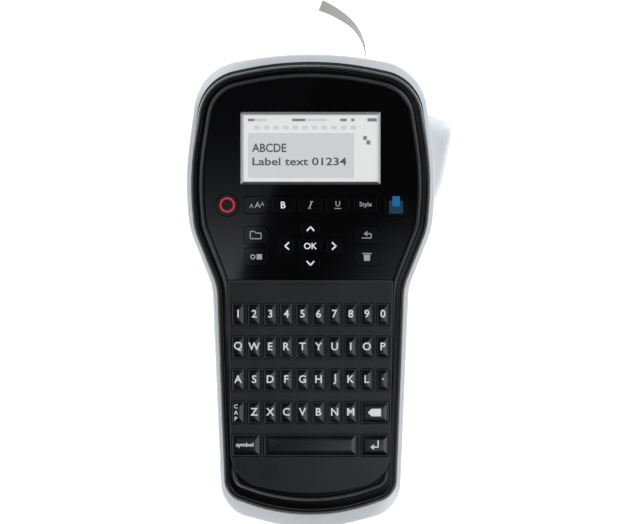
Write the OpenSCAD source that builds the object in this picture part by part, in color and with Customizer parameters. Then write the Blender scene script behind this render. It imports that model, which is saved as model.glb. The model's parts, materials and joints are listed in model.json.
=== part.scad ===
// Handheld label maker. The pieces are drawn in the frame of the front face: x to the right,
// y from the heel to the head, z = 0 on the bezel and negative into the case. The whole is
// then laid on its flat back, which turns the front face by tilt.

/* [Case] */
// Length of the grip, from the heel to the waist
grip_len = 102.5; // [98:0.5:125]
// Length of the head, from the waist to the top edge
head_len = 97.9; // [96:0.1:118]
// Width of the head across the silver back shell
head_w = 106.2; // [104:0.2:127]
// Width of the grip across the silver back shell
grip_w = 83.4; // [80:0.2:100]
// Depth of the case near the top of the head
case_depth = 52; // [50:1:64]
// Angle between the front face and the flat back
tilt = 7; // [4:0.5:8]
// Depth of the black front shell
front_depth = 18; // [17:0.5:19]
// Wall of both shells
wall = 2; // [1.6:0.1:2.4]
// Width of the silver edge that shows around the black front
silver_edge = 1.9; // [1:0.1:2.5]

/* [Front panel] */
// Width of the rim around the glossy faceplate
panel_rim = 6.2; // [5.5:0.1:7]
// Thickness of the faceplate, the keypad plate and the display lens
plate_t = 1.2; // [1:0.1:1.5]
// Width of the display window
lens_w = 59.5; // [50:0.5:64]
// Height of the display window
lens_h = 30.9; // [26:0.1:31.5]

/* [Keys] */
// Distance between two letter keys in a row
key_pitch = 6.84; // [6.5:0.02:6.9]
// Distance between two rows of letter keys
row_pitch = 13.9; // [12:0.1:14]
// Width of a letter key
key_w = 5.4; // [5:0.1:5.7]
// Height of a letter key
key_h = 9.3; // [8:0.1:10]
// Height of a letter key above the bezel
key_proud = 1.5; // [1:0.1:2]
// Travel of a letter key
key_travel = 1.0; // [0.6:0.1:1.1]
// Clearance around each key
key_gap = 0.25; // [0.2:0.05:0.35]

/* [Tape path] */
// Width of the tape
tape_w = 12; // [9:1:13]
// Thickness of the tape
tape_t = 0.3; // [0.2:0.05:0.4]
// Distance of the tape path from the centre line
tape_x = 23.6; // [23:0.1:24]
// Radius of the rubber platen roller
platen_r = 4; // [3.5:0.1:4.1]
// Thickness of the tape cassette
cassette_t = 17.7; // [15:0.1:18]

/* [Gears] */
// Module of all gears
gear_mod = 0.6; // [0.6:0.01:0.61]
// Running clearance of every pivot
pivot_gap = 0.05; // [0.03:0.01:0.08]

/* [Battery] */
// Width of the battery pack
battery_w = 44; // [40:1:47]
// Length of the battery pack
battery_l = 48; // [44:1:50]
// Thickness of the battery pack
battery_t = 12; // [10:0.5:12.5]

/* [Hidden] */
FUNCTION_NODES = ["power_key", "text_size_key", "bold_key", "italic_key", "underline_key",
  "text_style_key", "print_key", "up_key", "down_key", "left_key", "right_key", "ok_key",
  "save_key", "settings_key", "back_key", "clear_key"];
LETTER_NODES = ["number_row_keys", "upper_row_keys", "home_row_keys", "lower_row_keys",
  "caps_key", "backspace_key", "symbol_key", "space_bar", "return_key"];
$fn = 48;

// Levels below the bezel
deck_top = -plate_t;
deck_bottom = deck_top - 2;
flange_t = 0.6;
flange_gap = 0.1;
flange_w = 0.4;
flange_bottom = deck_bottom - flange_gap - flange_t;
dome_top = flange_bottom - key_travel - 0.3;
board_top = deck_bottom - 4.4;
board_t = 1.6;
board_bottom = board_top - board_t;
membrane_t = 1;
chassis_top = board_bottom - 11.3;
chassis_t = 1.5;
chassis_bottom = chassis_top - chassis_t;
cassette_top = chassis_bottom - 0.3;
cassette_bottom = cassette_top - cassette_t;
tape_z = cassette_top - cassette_t / 2;

// Outline of the black front: corners [x, y, fillet radius] of the right half, top to bottom
waist_y = grip_len;
top_y = grip_len + head_len;
black_head = head_w / 2 - silver_edge;
black_grip = grip_w / 2 - silver_edge;
right_half = [
  [black_head - 5.4, top_y - 10.2, 20],
  [black_head + 0.9, waist_y + 46.5, 120],
  [black_head - 1.2, waist_y + 24.5, 30],
  [black_grip + 0.4, waist_y, 25],
  [black_grip - 3, 13.4, 10]
];
apex_top = [0, top_y, 135];
apex_bottom = [0, 0.4, 80];
black_corners = concat([apex_bottom], [for (i = [4:-1:0]) right_half[i]], [apex_top],
  [for (p = right_half) [-p[0], p[1], p[2]]]);

// A closed outline with a fillet at each corner, moved inwards by inset
function unit(v) = v / norm(v);
function side_normal(a, b) = let (d = unit([b[0] - a[0], b[1] - a[1]])) [d[1], -d[0]];
function fillet(a, v, b, inset) = let (
    n1 = side_normal(a, v), n2 = side_normal(v, b),
    turn = asin(n1[0] * n2[1] - n1[1] * n2[0]),
    s = turn < 0 ? -1 : 1,
    r = s * v[2] - inset,
    c = [v[0], v[1]] - s * v[2] * (n1 + n2) / (1 + n1 * n2),
    start = atan2(n1[1], n1[0]),
    steps = max(2, ceil(abs(turn) * sqrt(v[2]) / 36)))
  [for (i = [0:steps]) let (t = start + turn * i / steps) c + r * [cos(t), sin(t)]];
// Fillets that would run past the middle of a side shrink until they fit on it
function tangent(a, v, b) = let (n1 = side_normal(a, v), n2 = side_normal(v, b),
    turn = abs(asin(n1[0] * n2[1] - n1[1] * n2[0]))) v[2] * tan(turn / 2);
function fitted(corners) = let (n = len(corners),
    t = [for (i = [0:n - 1]) tangent(corners[(i + n - 1) % n], corners[i],
      corners[(i + 1) % n])],
    side = [for (i = [0:n - 1]) let (p = corners[i], q = corners[(i + 1) % n])
      0.98 * norm([q[0] - p[0], q[1] - p[1]]) / max(0.001, t[i] + t[(i + 1) % n])])
  [for (i = [0:n - 1]) [corners[i][0], corners[i][1],
    corners[i][2] * min(1, side[i], side[(i + n - 1) % n])]];
function outline(drawn, inset = 0) = let (corners = fitted(drawn), n = len(corners))
  [for (i = [0:n - 1]) each fillet(corners[(i + n - 1) % n], corners[i], corners[(i + 1) % n],
    inset)];
function plate_corners(w, h, r, x = 0, y = 0) =
  [[x - w / 2, y - h / 2, r], [x + w / 2, y - h / 2, r], [x + w / 2, y + h / 2, r],
   [x - w / 2, y + h / 2, r]];

// A plate with the outline between two levels
module slab(corners, z0, z1, inset = 0) {
  translate([0, 0, z0]) linear_extrude(z1 - z0) polygon(outline(corners, inset));
}
module pad(w, h, r, x, y, z0, z1) {
  translate([x, y, z0]) linear_extrude(z1 - z0) polygon(outline(plate_corners(w, h, r)));
}
module rod(r, x, y, z0, z1) {
  translate([x, y, z0]) cylinder(r = r, h = z1 - z0);
}
module block(x0, x1, y0, y1, z0, z1) {
  translate([x0, y0, z0]) cube([x1 - x0, y1 - y0, z1 - z0]);
}

// Rest plane: the flat back, case_depth below the bezel at deep_y and rising to the heel
deep_y = top_y - 20;
function rest_z(y) = -case_depth + (deep_y - y) * tan(tilt);
scoop_low = 25;
scoop_high = waist_y - 10.5;
scoop_depth = 6.5;
hinge_y = waist_y + 1;
door_t = 2;
hinge_r = 3;
hinge_pin_r = 1;
hinge_gap = 0.4;
strip_end = hinge_y - hinge_r - 0.2 - hinge_gap;
origin_y = (scoop_high + strip_end) / 2;
shift_y = origin_y * cos(tilt) - rest_z(origin_y) * sin(tilt);
shift_z = origin_y * sin(tilt) + rest_z(origin_y) * cos(tilt);
module laid() {
  translate([0, -shift_y, -shift_z]) rotate([tilt, 0, 0]) children();
}
module from_rest() {
  rotate([-tilt, 0, 0]) translate([0, shift_y, shift_z]) children();
}
function rest_y(y) = (y - origin_y) / cos(tilt);
module above_rest(h) {
  from_rest() translate([-100, -200, h]) cube([200, 400, 100]);
}
scoop_half = (rest_y(scoop_high) - rest_y(scoop_low)) / 2;
scoop_mid = (rest_y(scoop_high) + rest_y(scoop_low)) / 2;
scoop_r = (scoop_half * scoop_half + scoop_depth * scoop_depth) / (2 * scoop_depth);
module scoop(extra) {
  from_rest() translate([-100, scoop_mid, scoop_depth - scoop_r]) rotate([0, 90, 0])
    cylinder(r = scoop_r + extra, h = 200, $fn = 96);
}

// Places of the panel parts
display_y = waist_y + 58.9;
panel_low = waist_y + 3.1;
keypad_high = waist_y + 2.7;
function_row_y = waist_y + 34.8;
nav_y = waist_y + 17.35;
FUNCTION_KEYS = [
  [-35.4, function_row_y, 9.4, 9.4, 4.6], [-23.4, function_row_y, 9.6, 7.2, 1.2],
  [-11.6, function_row_y, 9.6, 7.2, 1.2], [0, function_row_y, 9.6, 7.2, 1.2],
  [11.6, function_row_y, 9.6, 7.2, 1.2], [23.4, function_row_y, 9.6, 7.2, 1.2],
  [36.4, function_row_y, 9.2, 9.6, 1.2], [0, nav_y + 7.4, 8, 5.4, 1.2],
  [0, nav_y - 7.4, 8, 5.4, 1.2], [-10.1, nav_y, 6, 7.4, 1.2], [10.1, nav_y, 6, 7.4, 1.2],
  [0, nav_y, 9.6, 6.4, 1.2], [-23.2, nav_y + 4.6, 9.6, 7.4, 1.2],
  [-23.2, nav_y - 4.6, 9.6, 7.4, 1.2], [24, nav_y + 4.6, 9.6, 7.4, 1.2],
  [24, nav_y - 4.6, 9.6, 7.4, 1.2]];
function_proud = 0.15;
first_row_y = waist_y - 11.7;
function key_x(column) = (column - 4.5) * key_pitch;
function row_y(row) = first_row_y - row * row_pitch;
function key_row(row, first, last) =
  [for (c = [first:last]) [key_x(c), row_y(row), key_w, key_h, 0.8]];
wide_w = 2 * key_pitch - 1.5;
wide_x = 4 * key_pitch;
LETTER_KEYS = [key_row(0, 0, 9), key_row(1, 0, 9), key_row(2, 0, 9), key_row(3, 1, 7),
  key_row(3, 0, 0), [[wide_x, row_y(3), wide_w, key_h, 0.8]],
  [[-wide_x, row_y(4), wide_w, key_h, 0.8]], [[0, row_y(4), 5.8 * key_pitch, key_h, 0.8]],
  [[wide_x, row_y(4), wide_w, key_h, 0.8]]];
all_letter_keys = [for (group = LETTER_KEYS) each group];

// Keypad plate: straight sides and a curved lower edge
plate_half = black_grip - 4.7;
keypad_corners = [[0, 12.2, 90], [plate_half - 1.2, 20.2, 15], [plate_half, keypad_high, 0.6],
  [-plate_half, keypad_high, 0.6], [1.2 - plate_half, 20.2, 15]];

// Screws and their bosses
boss_r = 2.3;
small_screw_r = 0.9;
board_bosses = [[20, 23.5], [-20, 23.5], [34, waist_y - 2], [-34, waist_y - 2],
  [41, waist_y + 49.5], [-41, waist_y + 49.5], [33, waist_y + 80], [-33, waist_y + 80]];
column_r = 3;
long_screw_r = 1.2;
columns = [[24, 15.5], [-24, 15.5], [42.5, waist_y + 19.5], [-42.5, waist_y + 19.5],
  [-41.5, waist_y + 74.5], [0, waist_y + 89]];
screw_seat = 6;

// Outline of the silver back shell
silver_half = [
  [black_head - 5.4 + silver_edge, top_y - 4.5, 21.9],
  [black_head + 0.9 + silver_edge, waist_y + 46.5, 120],
  [black_head - 1.2 + silver_edge, waist_y + 24.5, 30],
  [black_grip + 0.4 + silver_edge, waist_y, 24],
  [black_grip - 3.6 + silver_edge, 6.8, 15]
];
silver_corners = concat([[0, -3, 70]], [for (i = [4:-1:0]) silver_half[i]],
  [[0, top_y + 4.4, 160]], [for (p = silver_half) [-p[0], p[1], p[2]]]);

// Ports in the top wall
usb = [-12, 8, 4.4];
jack = [-24, 9, 8];
jack_r = 2.75;
port_z = board_bottom - jack[2] / 2;

// Head layout
platen_at = [tape_x + tape_t / 2 + 0.1 + platen_r, waist_y + 69.5];
teeth_small = 12;
teeth_large = 36;
teeth_platen = 32;
teeth_take_up = 24;
function pitch_r(teeth) = gear_mod * teeth / 2;
reduction_angle = 162;
motor_angle = 174;
take_up_angle = 222;
function along(from, length, angle) = from + length * [cos(angle), sin(angle)];
reduction_at = along(platen_at, pitch_r(teeth_platen) + pitch_r(teeth_small), reduction_angle);
motor_at = along(reduction_at, pitch_r(teeth_large) + pitch_r(teeth_small), motor_angle);
take_up_at = along(platen_at, pitch_r(teeth_platen) + pitch_r(teeth_take_up), take_up_angle);
low_gear = [chassis_top + 0.3, chassis_top + 3.9];
high_gear = [chassis_top + 4.5, chassis_top + 7.7];
shaft_r = 1.5;
cassette_x0 = -34;
cassette_x1 = tape_x + 1.6;
cassette_y0 = waist_y + 5.5;
cassette_y1 = platen_at[1] - 6;
case_wall = 1.2;
tape_roll_at = [-11, cassette_y0 + 28];
tape_roll_r = 21;
ribbon_at = [cassette_x1 - 8, cassette_y0 + 38];
ribbon_r = 6;
cut_y = platen_at[1] + 13.9;
lever_at = [black_head - 5.2, waist_y + 36.5];
carriage_travel = 7.4;
lever_top = chassis_bottom - 0.8;
lever_bottom = cassette_bottom;
posts = [[40, waist_y + 10.5], [-40, waist_y + 10.5], [-45, waist_y + 47.5],
  [-24, waist_y + 87], [16, waist_y + 89]];

// Battery bay, drawn from the rest plane
cover_w = battery_w + 2;
cover_l = battery_l + 2;
bay_gap = 0.5;
tray_t = 1.2;
battery_low = scoop_depth + wall + 0.7;
battery_high = battery_low + battery_t;

// ---- Shells and panel ----
module key_block(k, extra, z0, z1) {
  block(k[0] - k[2] / 2 - extra, k[0] + k[2] / 2 + extra, k[1] - k[3] / 2 - extra,
    k[1] + k[3] / 2 + extra, z0, z1);
}
module front_housing() laid() color("#101113") difference() {
  union() {
    difference() {
      union() {
        slab(black_corners, -front_depth, -2.4);
        slab(black_corners, -2.4, -0.9, 0.7);
        slab(black_corners, -0.9, 0, 2.2);
      }
      slab(black_corners, -front_depth - 1, deck_bottom, wall);
    }
    for (b = board_bosses) rod(boss_r, b[0], b[1], board_top, deck_bottom);
    for (c = columns) rod(column_r, c[0], c[1], -front_depth, deck_bottom);
  }
  intersection() {
    slab(black_corners, deck_top, 1, panel_rim - 0.1);
    block(-100, 100, (panel_low + keypad_high) / 2, 300, -10, 10);
  }
  slab(keypad_corners, deck_top, 1, -0.1);
  block(0.3 - plate_half, plate_half - 0.3, keypad_high - 1, panel_low, deck_top, 1);
  pad(lens_w - 2, lens_h - 2, 0.5, 0, display_y, deck_bottom - 1, deck_top + 1);
  for (k = concat(FUNCTION_KEYS, all_letter_keys))
    key_block(k, key_gap, deck_bottom - 1, deck_top + 1);
  for (b = board_bosses) rod(small_screw_r + 0.05, b[0], b[1], board_top - 1, deck_bottom);
  for (c = columns) rod(long_screw_r + 0.05, c[0], c[1], -front_depth - 1, deck_bottom - 1);
  block(usb[0] - usb[1] / 2 - 0.6, usb[0] + usb[1] / 2 + 0.6, top_y - 11, top_y,
    board_bottom - usb[2] - 0.6, board_bottom + 0.3);
  translate([jack[0], top_y, port_z]) rotate([90, 0, 0]) cylinder(r = jack_r + 0.8, h = 14);
}
module faceplate() laid() color("#060607") difference() {
  intersection() {
    slab(black_corners, deck_top, 0, panel_rim);
    block(-100, 100, panel_low, 300, -10, 10);
  }
  pad(lens_w + 0.2, lens_h + 0.2, 0.6, 0, display_y, -5, 5);
  for (k = FUNCTION_KEYS)
    pad(k[2] + 2 * key_gap, k[3] + 2 * key_gap, k[4] + key_gap, k[0], k[1], -5, 5);
}
module keypad_plate() laid() color("#23282c") difference() {
  slab(keypad_corners, deck_top, 0);
  for (k = all_letter_keys)
    pad(k[2] + 2 * key_gap, k[3] + 2 * key_gap, k[4] + key_gap, k[0], k[1], -5, 5);
}
module display_lens() laid() color("#c8ccce")
  pad(lens_w, lens_h, 0.5, 0, display_y, deck_top, 0);
module lcd_module() laid() color("#b9bdbb")
  pad(lens_w + 6, lens_h + 6, 0.5, 0, display_y, board_top, deck_bottom - flange_gap);

// ---- Keys and electronics ----
module key_cap(k, proud) {
  pad(k[2], k[3], k[4], k[0], k[1], flange_bottom, proud - 0.5);
  pad(k[2] - 0.6, k[3] - 0.6, k[4] - 0.3, k[0], k[1], proud - 0.5, proud);
  key_block(k, flange_w, flange_bottom, flange_bottom + flange_t);
}
module function_key(i) laid() color("#0b0b0d") key_cap(FUNCTION_KEYS[i], function_proud);
module letter_keys(i) laid() color("#2b3036")
  for (k = LETTER_KEYS[i]) key_cap(k, key_proud);
module keypad_membrane() laid() color("#50545a") {
  difference() {
    slab(black_corners, board_top, board_top + membrane_t, wall + 1.5);
    block(-100, 100, display_y - lens_h / 2 - 3.4, 300, -20, 20);
    for (b = board_bosses) rod(boss_r + 0.4, b[0], b[1], -20, 0);
    for (c = columns) rod(column_r + 0.4, c[0], c[1], -20, 0);
  }
  for (k = concat(FUNCTION_KEYS, all_letter_keys))
    rod(1.8, k[0], k[1], board_top + membrane_t, dome_top);
}
module main_board() laid() color("#1d5a38") difference() {
  intersection() {
    slab(black_corners, board_bottom, board_top, wall + 1.5);
    block(-100, 100, 20.5, waist_y + 84.5, -20, 0);
  }
  for (b = board_bosses) rod(small_screw_r + 0.2, b[0], b[1], -20, 0);
  for (c = columns) rod(column_r + 0.5, c[0], c[1], -20, 0);
}
module small_screw(x, y, seat) {
  rod(1.8, x, y, seat - 1.2, seat);
  rod(small_screw_r, x, y, seat - 0.2, seat + 4.2);
}
module small_screws() laid() color("#8d8f92") {
  for (b = board_bosses) small_screw(b[0], b[1], board_bottom);
  for (p = posts) translate([p[0], p[1], chassis_top]) mirror([0, 0, 1])
    small_screw(0, 0, 0);
}
module port_sockets() laid() color("#9a9c9f") {
  difference() {
    block(usb[0] - usb[1] / 2, usb[0] + usb[1] / 2, top_y - 15, top_y - 6.6,
      board_bottom - usb[2], board_bottom);
    block(usb[0] - usb[1] / 2 + 0.5, usb[0] + usb[1] / 2 - 0.5, top_y - 13, top_y,
      board_bottom - usb[2] + 0.5, board_bottom - 0.5);
  }
  difference() {
    block(jack[0] - jack[1] / 2, jack[0] + jack[1] / 2, top_y - 19, top_y - 9,
      board_bottom - jack[2], board_bottom);
    translate([jack[0], top_y, port_z]) rotate([90, 0, 0]) cylinder(r = jack_r, h = 17);
  }
}

// ---- Back shell, door and battery ----
module back_body(inset, height) {
  intersection() {
    slab(silver_corners, -case_depth - 20, -front_depth, inset);
    above_rest(height);
  }
}
hinge_at = rest_y(hinge_y);
hinge_z = hinge_r + 0.2;
door_half = 37;
door_end = rest_y(waist_y + 81);
knuckle = [21, 31];
knuckle_gap = 0.3;
module hinge_rod(r, x0, x1) {
  translate([x0, hinge_at, hinge_z]) rotate([0, 90, 0]) cylinder(r = r, h = x1 - x0);
}
module both_sides() {
  children();
  mirror([1, 0, 0]) children();
}
module hinge_lug(x0, x1) {
  hinge_rod(hinge_r, x0, x1);
  block(x0, x1, hinge_at - 6, hinge_at, 0.5, hinge_z);
}
tab_half = 7;
tab_l = 3;
module battery_block(w, l, z0, z1) {
  block(-w / 2, w / 2, scoop_mid - l / 2, scoop_mid + l / 2, z0, z1);
}
module back_housing() laid() color("#c9cccf") difference() {
  union() {
    difference() {
      union() {
        back_body(3.4, 0);
        back_body(1.4, 1.4);
        back_body(0, 3.8);
      }
      difference() {
        intersection() {
          union() {
            slab(silver_corners, -case_depth - 20, -front_depth - wall, wall);
            slab(black_corners, -front_depth - wall - 1, -front_depth + 1, wall);
          }
          above_rest(wall);
        }
        scoop(wall);
      }
    }
    intersection() {
      union() {
        for (c = columns) rod(column_r, c[0], c[1], -case_depth - 5, -front_depth);
        for (p = posts) rod(boss_r, p[0], p[1], -case_depth - 5, chassis_bottom);
        rod(boss_r + 1, lever_at[0], lever_at[1], -case_depth - 5, lever_bottom - 0.3);
      }
      above_rest(1);
      slab(silver_corners, -case_depth - 20, -front_depth, 1);
    }
    from_rest() both_sides() {
      hinge_lug(knuckle[0] - 7, knuckle[0] - knuckle_gap);
      hinge_lug(knuckle[1] + knuckle_gap, knuckle[1] + 6);
    }
  }
  scoop(0);
  from_rest() {
    block(-door_half - 0.3, door_half + 0.3, hinge_at + 1.6, door_end + 0.3, -1, 4);
    block(-tab_half - 0.3, tab_half + 0.3, door_end - 1, door_end + tab_l + 0.3, -1, 4);
    both_sides() block(knuckle[0] - knuckle_gap, knuckle[1] + knuckle_gap,
      hinge_at - hinge_z - hinge_gap, hinge_at + 3, -1, 8);
    hinge_rod(hinge_pin_r + 0.02, -60, 60);
    battery_block(cover_w + 0.6, cover_l + 0.6, -1, battery_low);
  }
  for (c = columns) {
    rod(long_screw_r + 0.2, c[0], c[1], -100, 0);
    translate([c[0], c[1], rest_z(c[1]) - 10]) cylinder(r = 2.5, h = screw_seat + 10);
  }
  for (p = posts) rod(small_screw_r + 0.05, p[0], p[1], chassis_bottom - 6, chassis_bottom + 1);
  rod(shaft_r + 0.02, lever_at[0], lever_at[1], lever_bottom - 3, lever_bottom + 1);
  block(lever_at[0] - 4, 90, lever_at[1] - 5.5, lever_at[1] + 39.3, lever_bottom - 0.6,
    chassis_bottom - 0.2);
  block(tape_x - 1.3, tape_x + 1.3, top_y - 10, top_y + 10, tape_z - tape_w / 2 - 0.7,
    tape_z + tape_w / 2 + 0.7);
}
module housing_screws() laid() color("#5b5d60") for (c = columns) {
  seat = rest_z(c[1]) + screw_seat;
  rod(2.2, c[0], c[1], seat - 1.8, seat);
  rod(long_screw_r, c[0], c[1], seat - 0.5, -front_depth + 10);
}
module cassette_door() laid() color("#c4c7ca") {
  from_rest() difference() {
    union() {
      block(-door_half, door_half, hinge_at + 3.6, door_end, 0, door_t);
      block(-tab_half, tab_half, door_end - 1, door_end + tab_l, 0.6, door_t);
      both_sides() {
        hinge_rod(hinge_r, knuckle[0], knuckle[1]);
        block(knuckle[0], knuckle[1], hinge_at, hinge_at + 4, 0, door_t);
      }
    }
    hinge_rod(hinge_pin_r + pivot_gap, -60, 60);
  }
  for (x = [-14, 6]) difference() {
    block(x, x + 1.6, cassette_y0 + 4, cassette_y1 - 4, -case_depth - 5,
      cassette_bottom - 0.3);
    difference() {
      block(-100, 100, 0, 300, -case_depth - 50, 0);
      above_rest(door_t - 0.5);
    }
  }
}
module door_hinge_pin() laid() color("#b5b8bb") from_rest()
  hinge_rod(hinge_pin_r, -knuckle[1] - 6, knuckle[1] + 6);
module battery_cover() laid() color("#c4c7ca") difference() {
  from_rest() battery_block(cover_w, cover_l, 0, battery_low);
  scoop(0);
  difference() {
    from_rest() battery_block(cover_w + 9, cover_l + 9, -9, battery_low + 9);
    scoop(wall);
  }
}
module battery_tray() laid() color("#3a3d40") difference() {
  intersection() {
    union() {
      from_rest() battery_block(battery_w + 2 * bay_gap + 2 * tray_t,
        battery_l + 2 * bay_gap + 2 * tray_t, 1, battery_high + 0.3 + tray_t);
      difference() {
        from_rest() battery_block(cover_w + 6, cover_l + 6, 1, battery_low + 4);
        scoop(wall + 0.1 + tray_t);
      }
    }
    difference() {
      block(-200, 200, -200, 300, -200, 0);
      scoop(wall + 0.1);
    }
  }
  from_rest() battery_block(battery_w + 2 * bay_gap, battery_l + 2 * bay_gap, -9,
    battery_high + 0.3);
}
module battery_pack() laid() color("#2b4d78") from_rest()
  battery_block(battery_w, battery_l, battery_low, battery_high);
module battery_contacts() laid() color("#c9a84a") from_rest() both_sides() {
  contact_y = scoop_mid + battery_l / 2 + 0.1;
  block(6, 14, contact_y, contact_y + 0.3, battery_low + 2, battery_high - 2);
}

// ---- Printing mechanism ----
function involute_angle(a) = tan(a) * 180 / PI - a;
function flank(teeth, r) = let (base = pitch_r(teeth) * cos(20))
  90 / teeth - 0.45 + involute_angle(20)
  - involute_angle(r <= base ? 0 : acos(base / r));
function gear_points(teeth, turn) = let (
    root = pitch_r(teeth) - 1.15 * gear_mod, tip = pitch_r(teeth) + 0.8 * gear_mod,
    radii = [root, pitch_r(teeth), tip])
  [for (i = [0:teeth - 1], side = [-1, 1], k = [0:2])
    let (r = radii[side < 0 ? k : 2 - k], a = turn + i * 360 / teeth + side * flank(teeth, r))
    r * [cos(a), sin(a)]];
module gear(at, teeth, turn, levels) {
  translate([at[0], at[1], levels[0]]) linear_extrude(levels[1] - levels[0])
    polygon(gear_points(teeth, turn));
}
// A follower's tooth gap faces the tooth of the gear that it meshes with
function facing(angle, teeth) = angle + 180 + 180 / teeth;
small_turn = facing(reduction_angle, teeth_small);
large_turn = motor_angle;
motor_turn = facing(motor_angle, teeth_small);
take_up_turn = facing(take_up_angle, teeth_take_up);
// The platen gear has a tooth towards the reduction gear, and the take-up gear is turned by
// what the platen gear's teeth are off that second line
platen_off = (take_up_angle - reduction_angle) % (360 / teeth_platen);
take_up_phase = take_up_turn + platen_off * teeth_platen / teeth_take_up;

module chassis() laid() color("#54575b") {
  difference() {
    intersection() {
      slab(silver_corners, chassis_bottom, chassis_top, wall + 0.8);
      block(-100, 100, hinge_y + 6, top_y + 20, -100, 0);
    }
    for (c = columns) rod(column_r + 0.5, c[0], c[1], -50, 0);
    for (p = posts) rod(small_screw_r + 0.2, p[0], p[1], -50, 0);
    rod(shaft_r + pivot_gap, platen_at[0], platen_at[1], -50, 0);
    rod(shaft_r + pivot_gap, take_up_at[0], take_up_at[1], -50, 0);
    rod(1.1, motor_at[0], motor_at[1], -50, 0);
    rod(shaft_r + 0.02, lever_at[0], lever_at[1], -50, 0);
  }
  rod(shaft_r, reduction_at[0], reduction_at[1], chassis_bottom + 0.5, high_gear[1] + 0.4);
}
module motor() laid() color("#a8abae") rod(8, motor_at[0], motor_at[1], cassette_bottom,
  chassis_bottom);
module motor_pinion() laid() color("#d8c9a0") {
  gear(motor_at, teeth_small, motor_turn, high_gear);
  rod(1, motor_at[0], motor_at[1], chassis_bottom + 0.1, high_gear[1]);
}
module reduction_gear() laid() color("#e6e3da") difference() {
  union() {
    gear(reduction_at, teeth_large, large_turn, high_gear);
    gear(reduction_at, teeth_small, small_turn, [low_gear[0], high_gear[0]]);
  }
  rod(shaft_r + pivot_gap, reduction_at[0], reduction_at[1], -50, 0);
}
module platen_roller() laid() color("#2a2b2d") {
  gear(platen_at, teeth_platen, reduction_angle, low_gear);
  rod(shaft_r, platen_at[0], platen_at[1], cassette_bottom, low_gear[0] + 1);
  rod(platen_r, platen_at[0], platen_at[1], tape_z - tape_w / 2 - 0.8,
    tape_z + tape_w / 2 + 0.8);
}
module take_up_gear() laid() color("#e6e3da") {
  gear(take_up_at, teeth_take_up, take_up_phase, low_gear);
  rod(shaft_r, take_up_at[0], take_up_at[1], tape_z - tape_w / 2, low_gear[0] + 1);
}
module print_head() laid() color("#b8a070") {
  block(tape_x - 2.7, tape_x - tape_t / 2 - 0.15, platen_at[1] - 3.5, platen_at[1] + 3.5,
    tape_z - tape_w / 2 - 0.8, tape_z + tape_w / 2 + 0.8);
  block(tape_x - 4.4, tape_x - 2.7, platen_at[1] - 5, platen_at[1] + 5,
    tape_z - tape_w / 2 - 1.5, chassis_bottom);
}

// ---- Cassette and tape ----
case_x = (cassette_x0 + cassette_x1) / 2;
case_y = (cassette_y0 + cassette_y1) / 2;
case_w = cassette_x1 - cassette_x0;
case_l = cassette_y1 - cassette_y0;
module cassette_case() laid() color("#dfe2e4") difference() {
  pad(case_w, case_l, 3, case_x, case_y, cassette_bottom, cassette_top);
  pad(case_w - 2 * case_wall, case_l - 2 * case_wall, 2, case_x, case_y,
    cassette_bottom + case_wall, cassette_top - case_wall);
  rod(2.5, take_up_at[0], take_up_at[1], cassette_top - 3, cassette_top + 1);
  block(tape_x - 0.6, tape_x + 0.5, cassette_y1 - 3, cassette_y1 + 1, tape_z - tape_w / 2 - 0.3,
    tape_z + tape_w / 2 + 0.3);
}
module spool(at, r, bore) difference() {
  rod(r, at[0], at[1], tape_z - tape_w / 2, tape_z + tape_w / 2);
  rod(bore, at[0], at[1], -100, 0);
}
module tape_roll() laid() color("#f2f2ee") spool(tape_roll_at, tape_roll_r, 6);
module ribbon_roll() laid() color("#1a1a1c") spool(ribbon_at, ribbon_r, 2);
module ribbon_take_up() laid() color("#3c3c40") spool(take_up_at, 3.2, shaft_r + 0.02);
// A thin strip on edge along a path
function strip(path, t) = let (n = len(path),
    normals = [for (i = [0:n - 1]) side_normal(path[max(0, i - 1)], path[min(n - 1, i + 1)])])
  concat([for (i = [0:n - 1]) path[i] + normals[i] * t / 2],
    [for (i = [n - 1:-1:0]) path[i] - normals[i] * t / 2]);
module tape(path) {
  translate([0, 0, tape_z - tape_w / 2]) linear_extrude(tape_w) polygon(strip(path, tape_t));
}
blade_gap = 0.15;
blade_t = 0.5;
peel_angle = -50;
module inner_tape() laid() color("#ecece8") tape([
  along(tape_roll_at, tape_roll_r + 0.3, peel_angle),
  [cassette_x1 - 6.5, cassette_y0 + 12.5], [tape_x - 1, cassette_y0 + 17],
  [tape_x, cassette_y0 + 20], [tape_x, cut_y - blade_gap]]);
// The printed label stands out of its slot and curls over to the left in two arcs
curl_1 = [22, 50];
curl_2 = [45, 17];
curl_y = top_y + 1.5;
curl_end = [tape_x, curl_y] + curl_1[0] * [cos(curl_1[1]) - 1, sin(curl_1[1])];
function arc(from, r, a0, turn, steps) = [for (i = [1:steps])
  let (a = a0 + turn * i / steps) from + r * [cos(a) - cos(a0), sin(a) - sin(a0)]];
label_path = concat([[tape_x, cut_y + blade_t + blade_gap], [tape_x, curl_y]],
  arc([tape_x, curl_y], curl_1[0], 0, curl_1[1], 6),
  arc(curl_end, curl_2[0], curl_1[1], curl_2[1], 3));
module label_tape() laid() color("#ecece8") tape(label_path);

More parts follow.
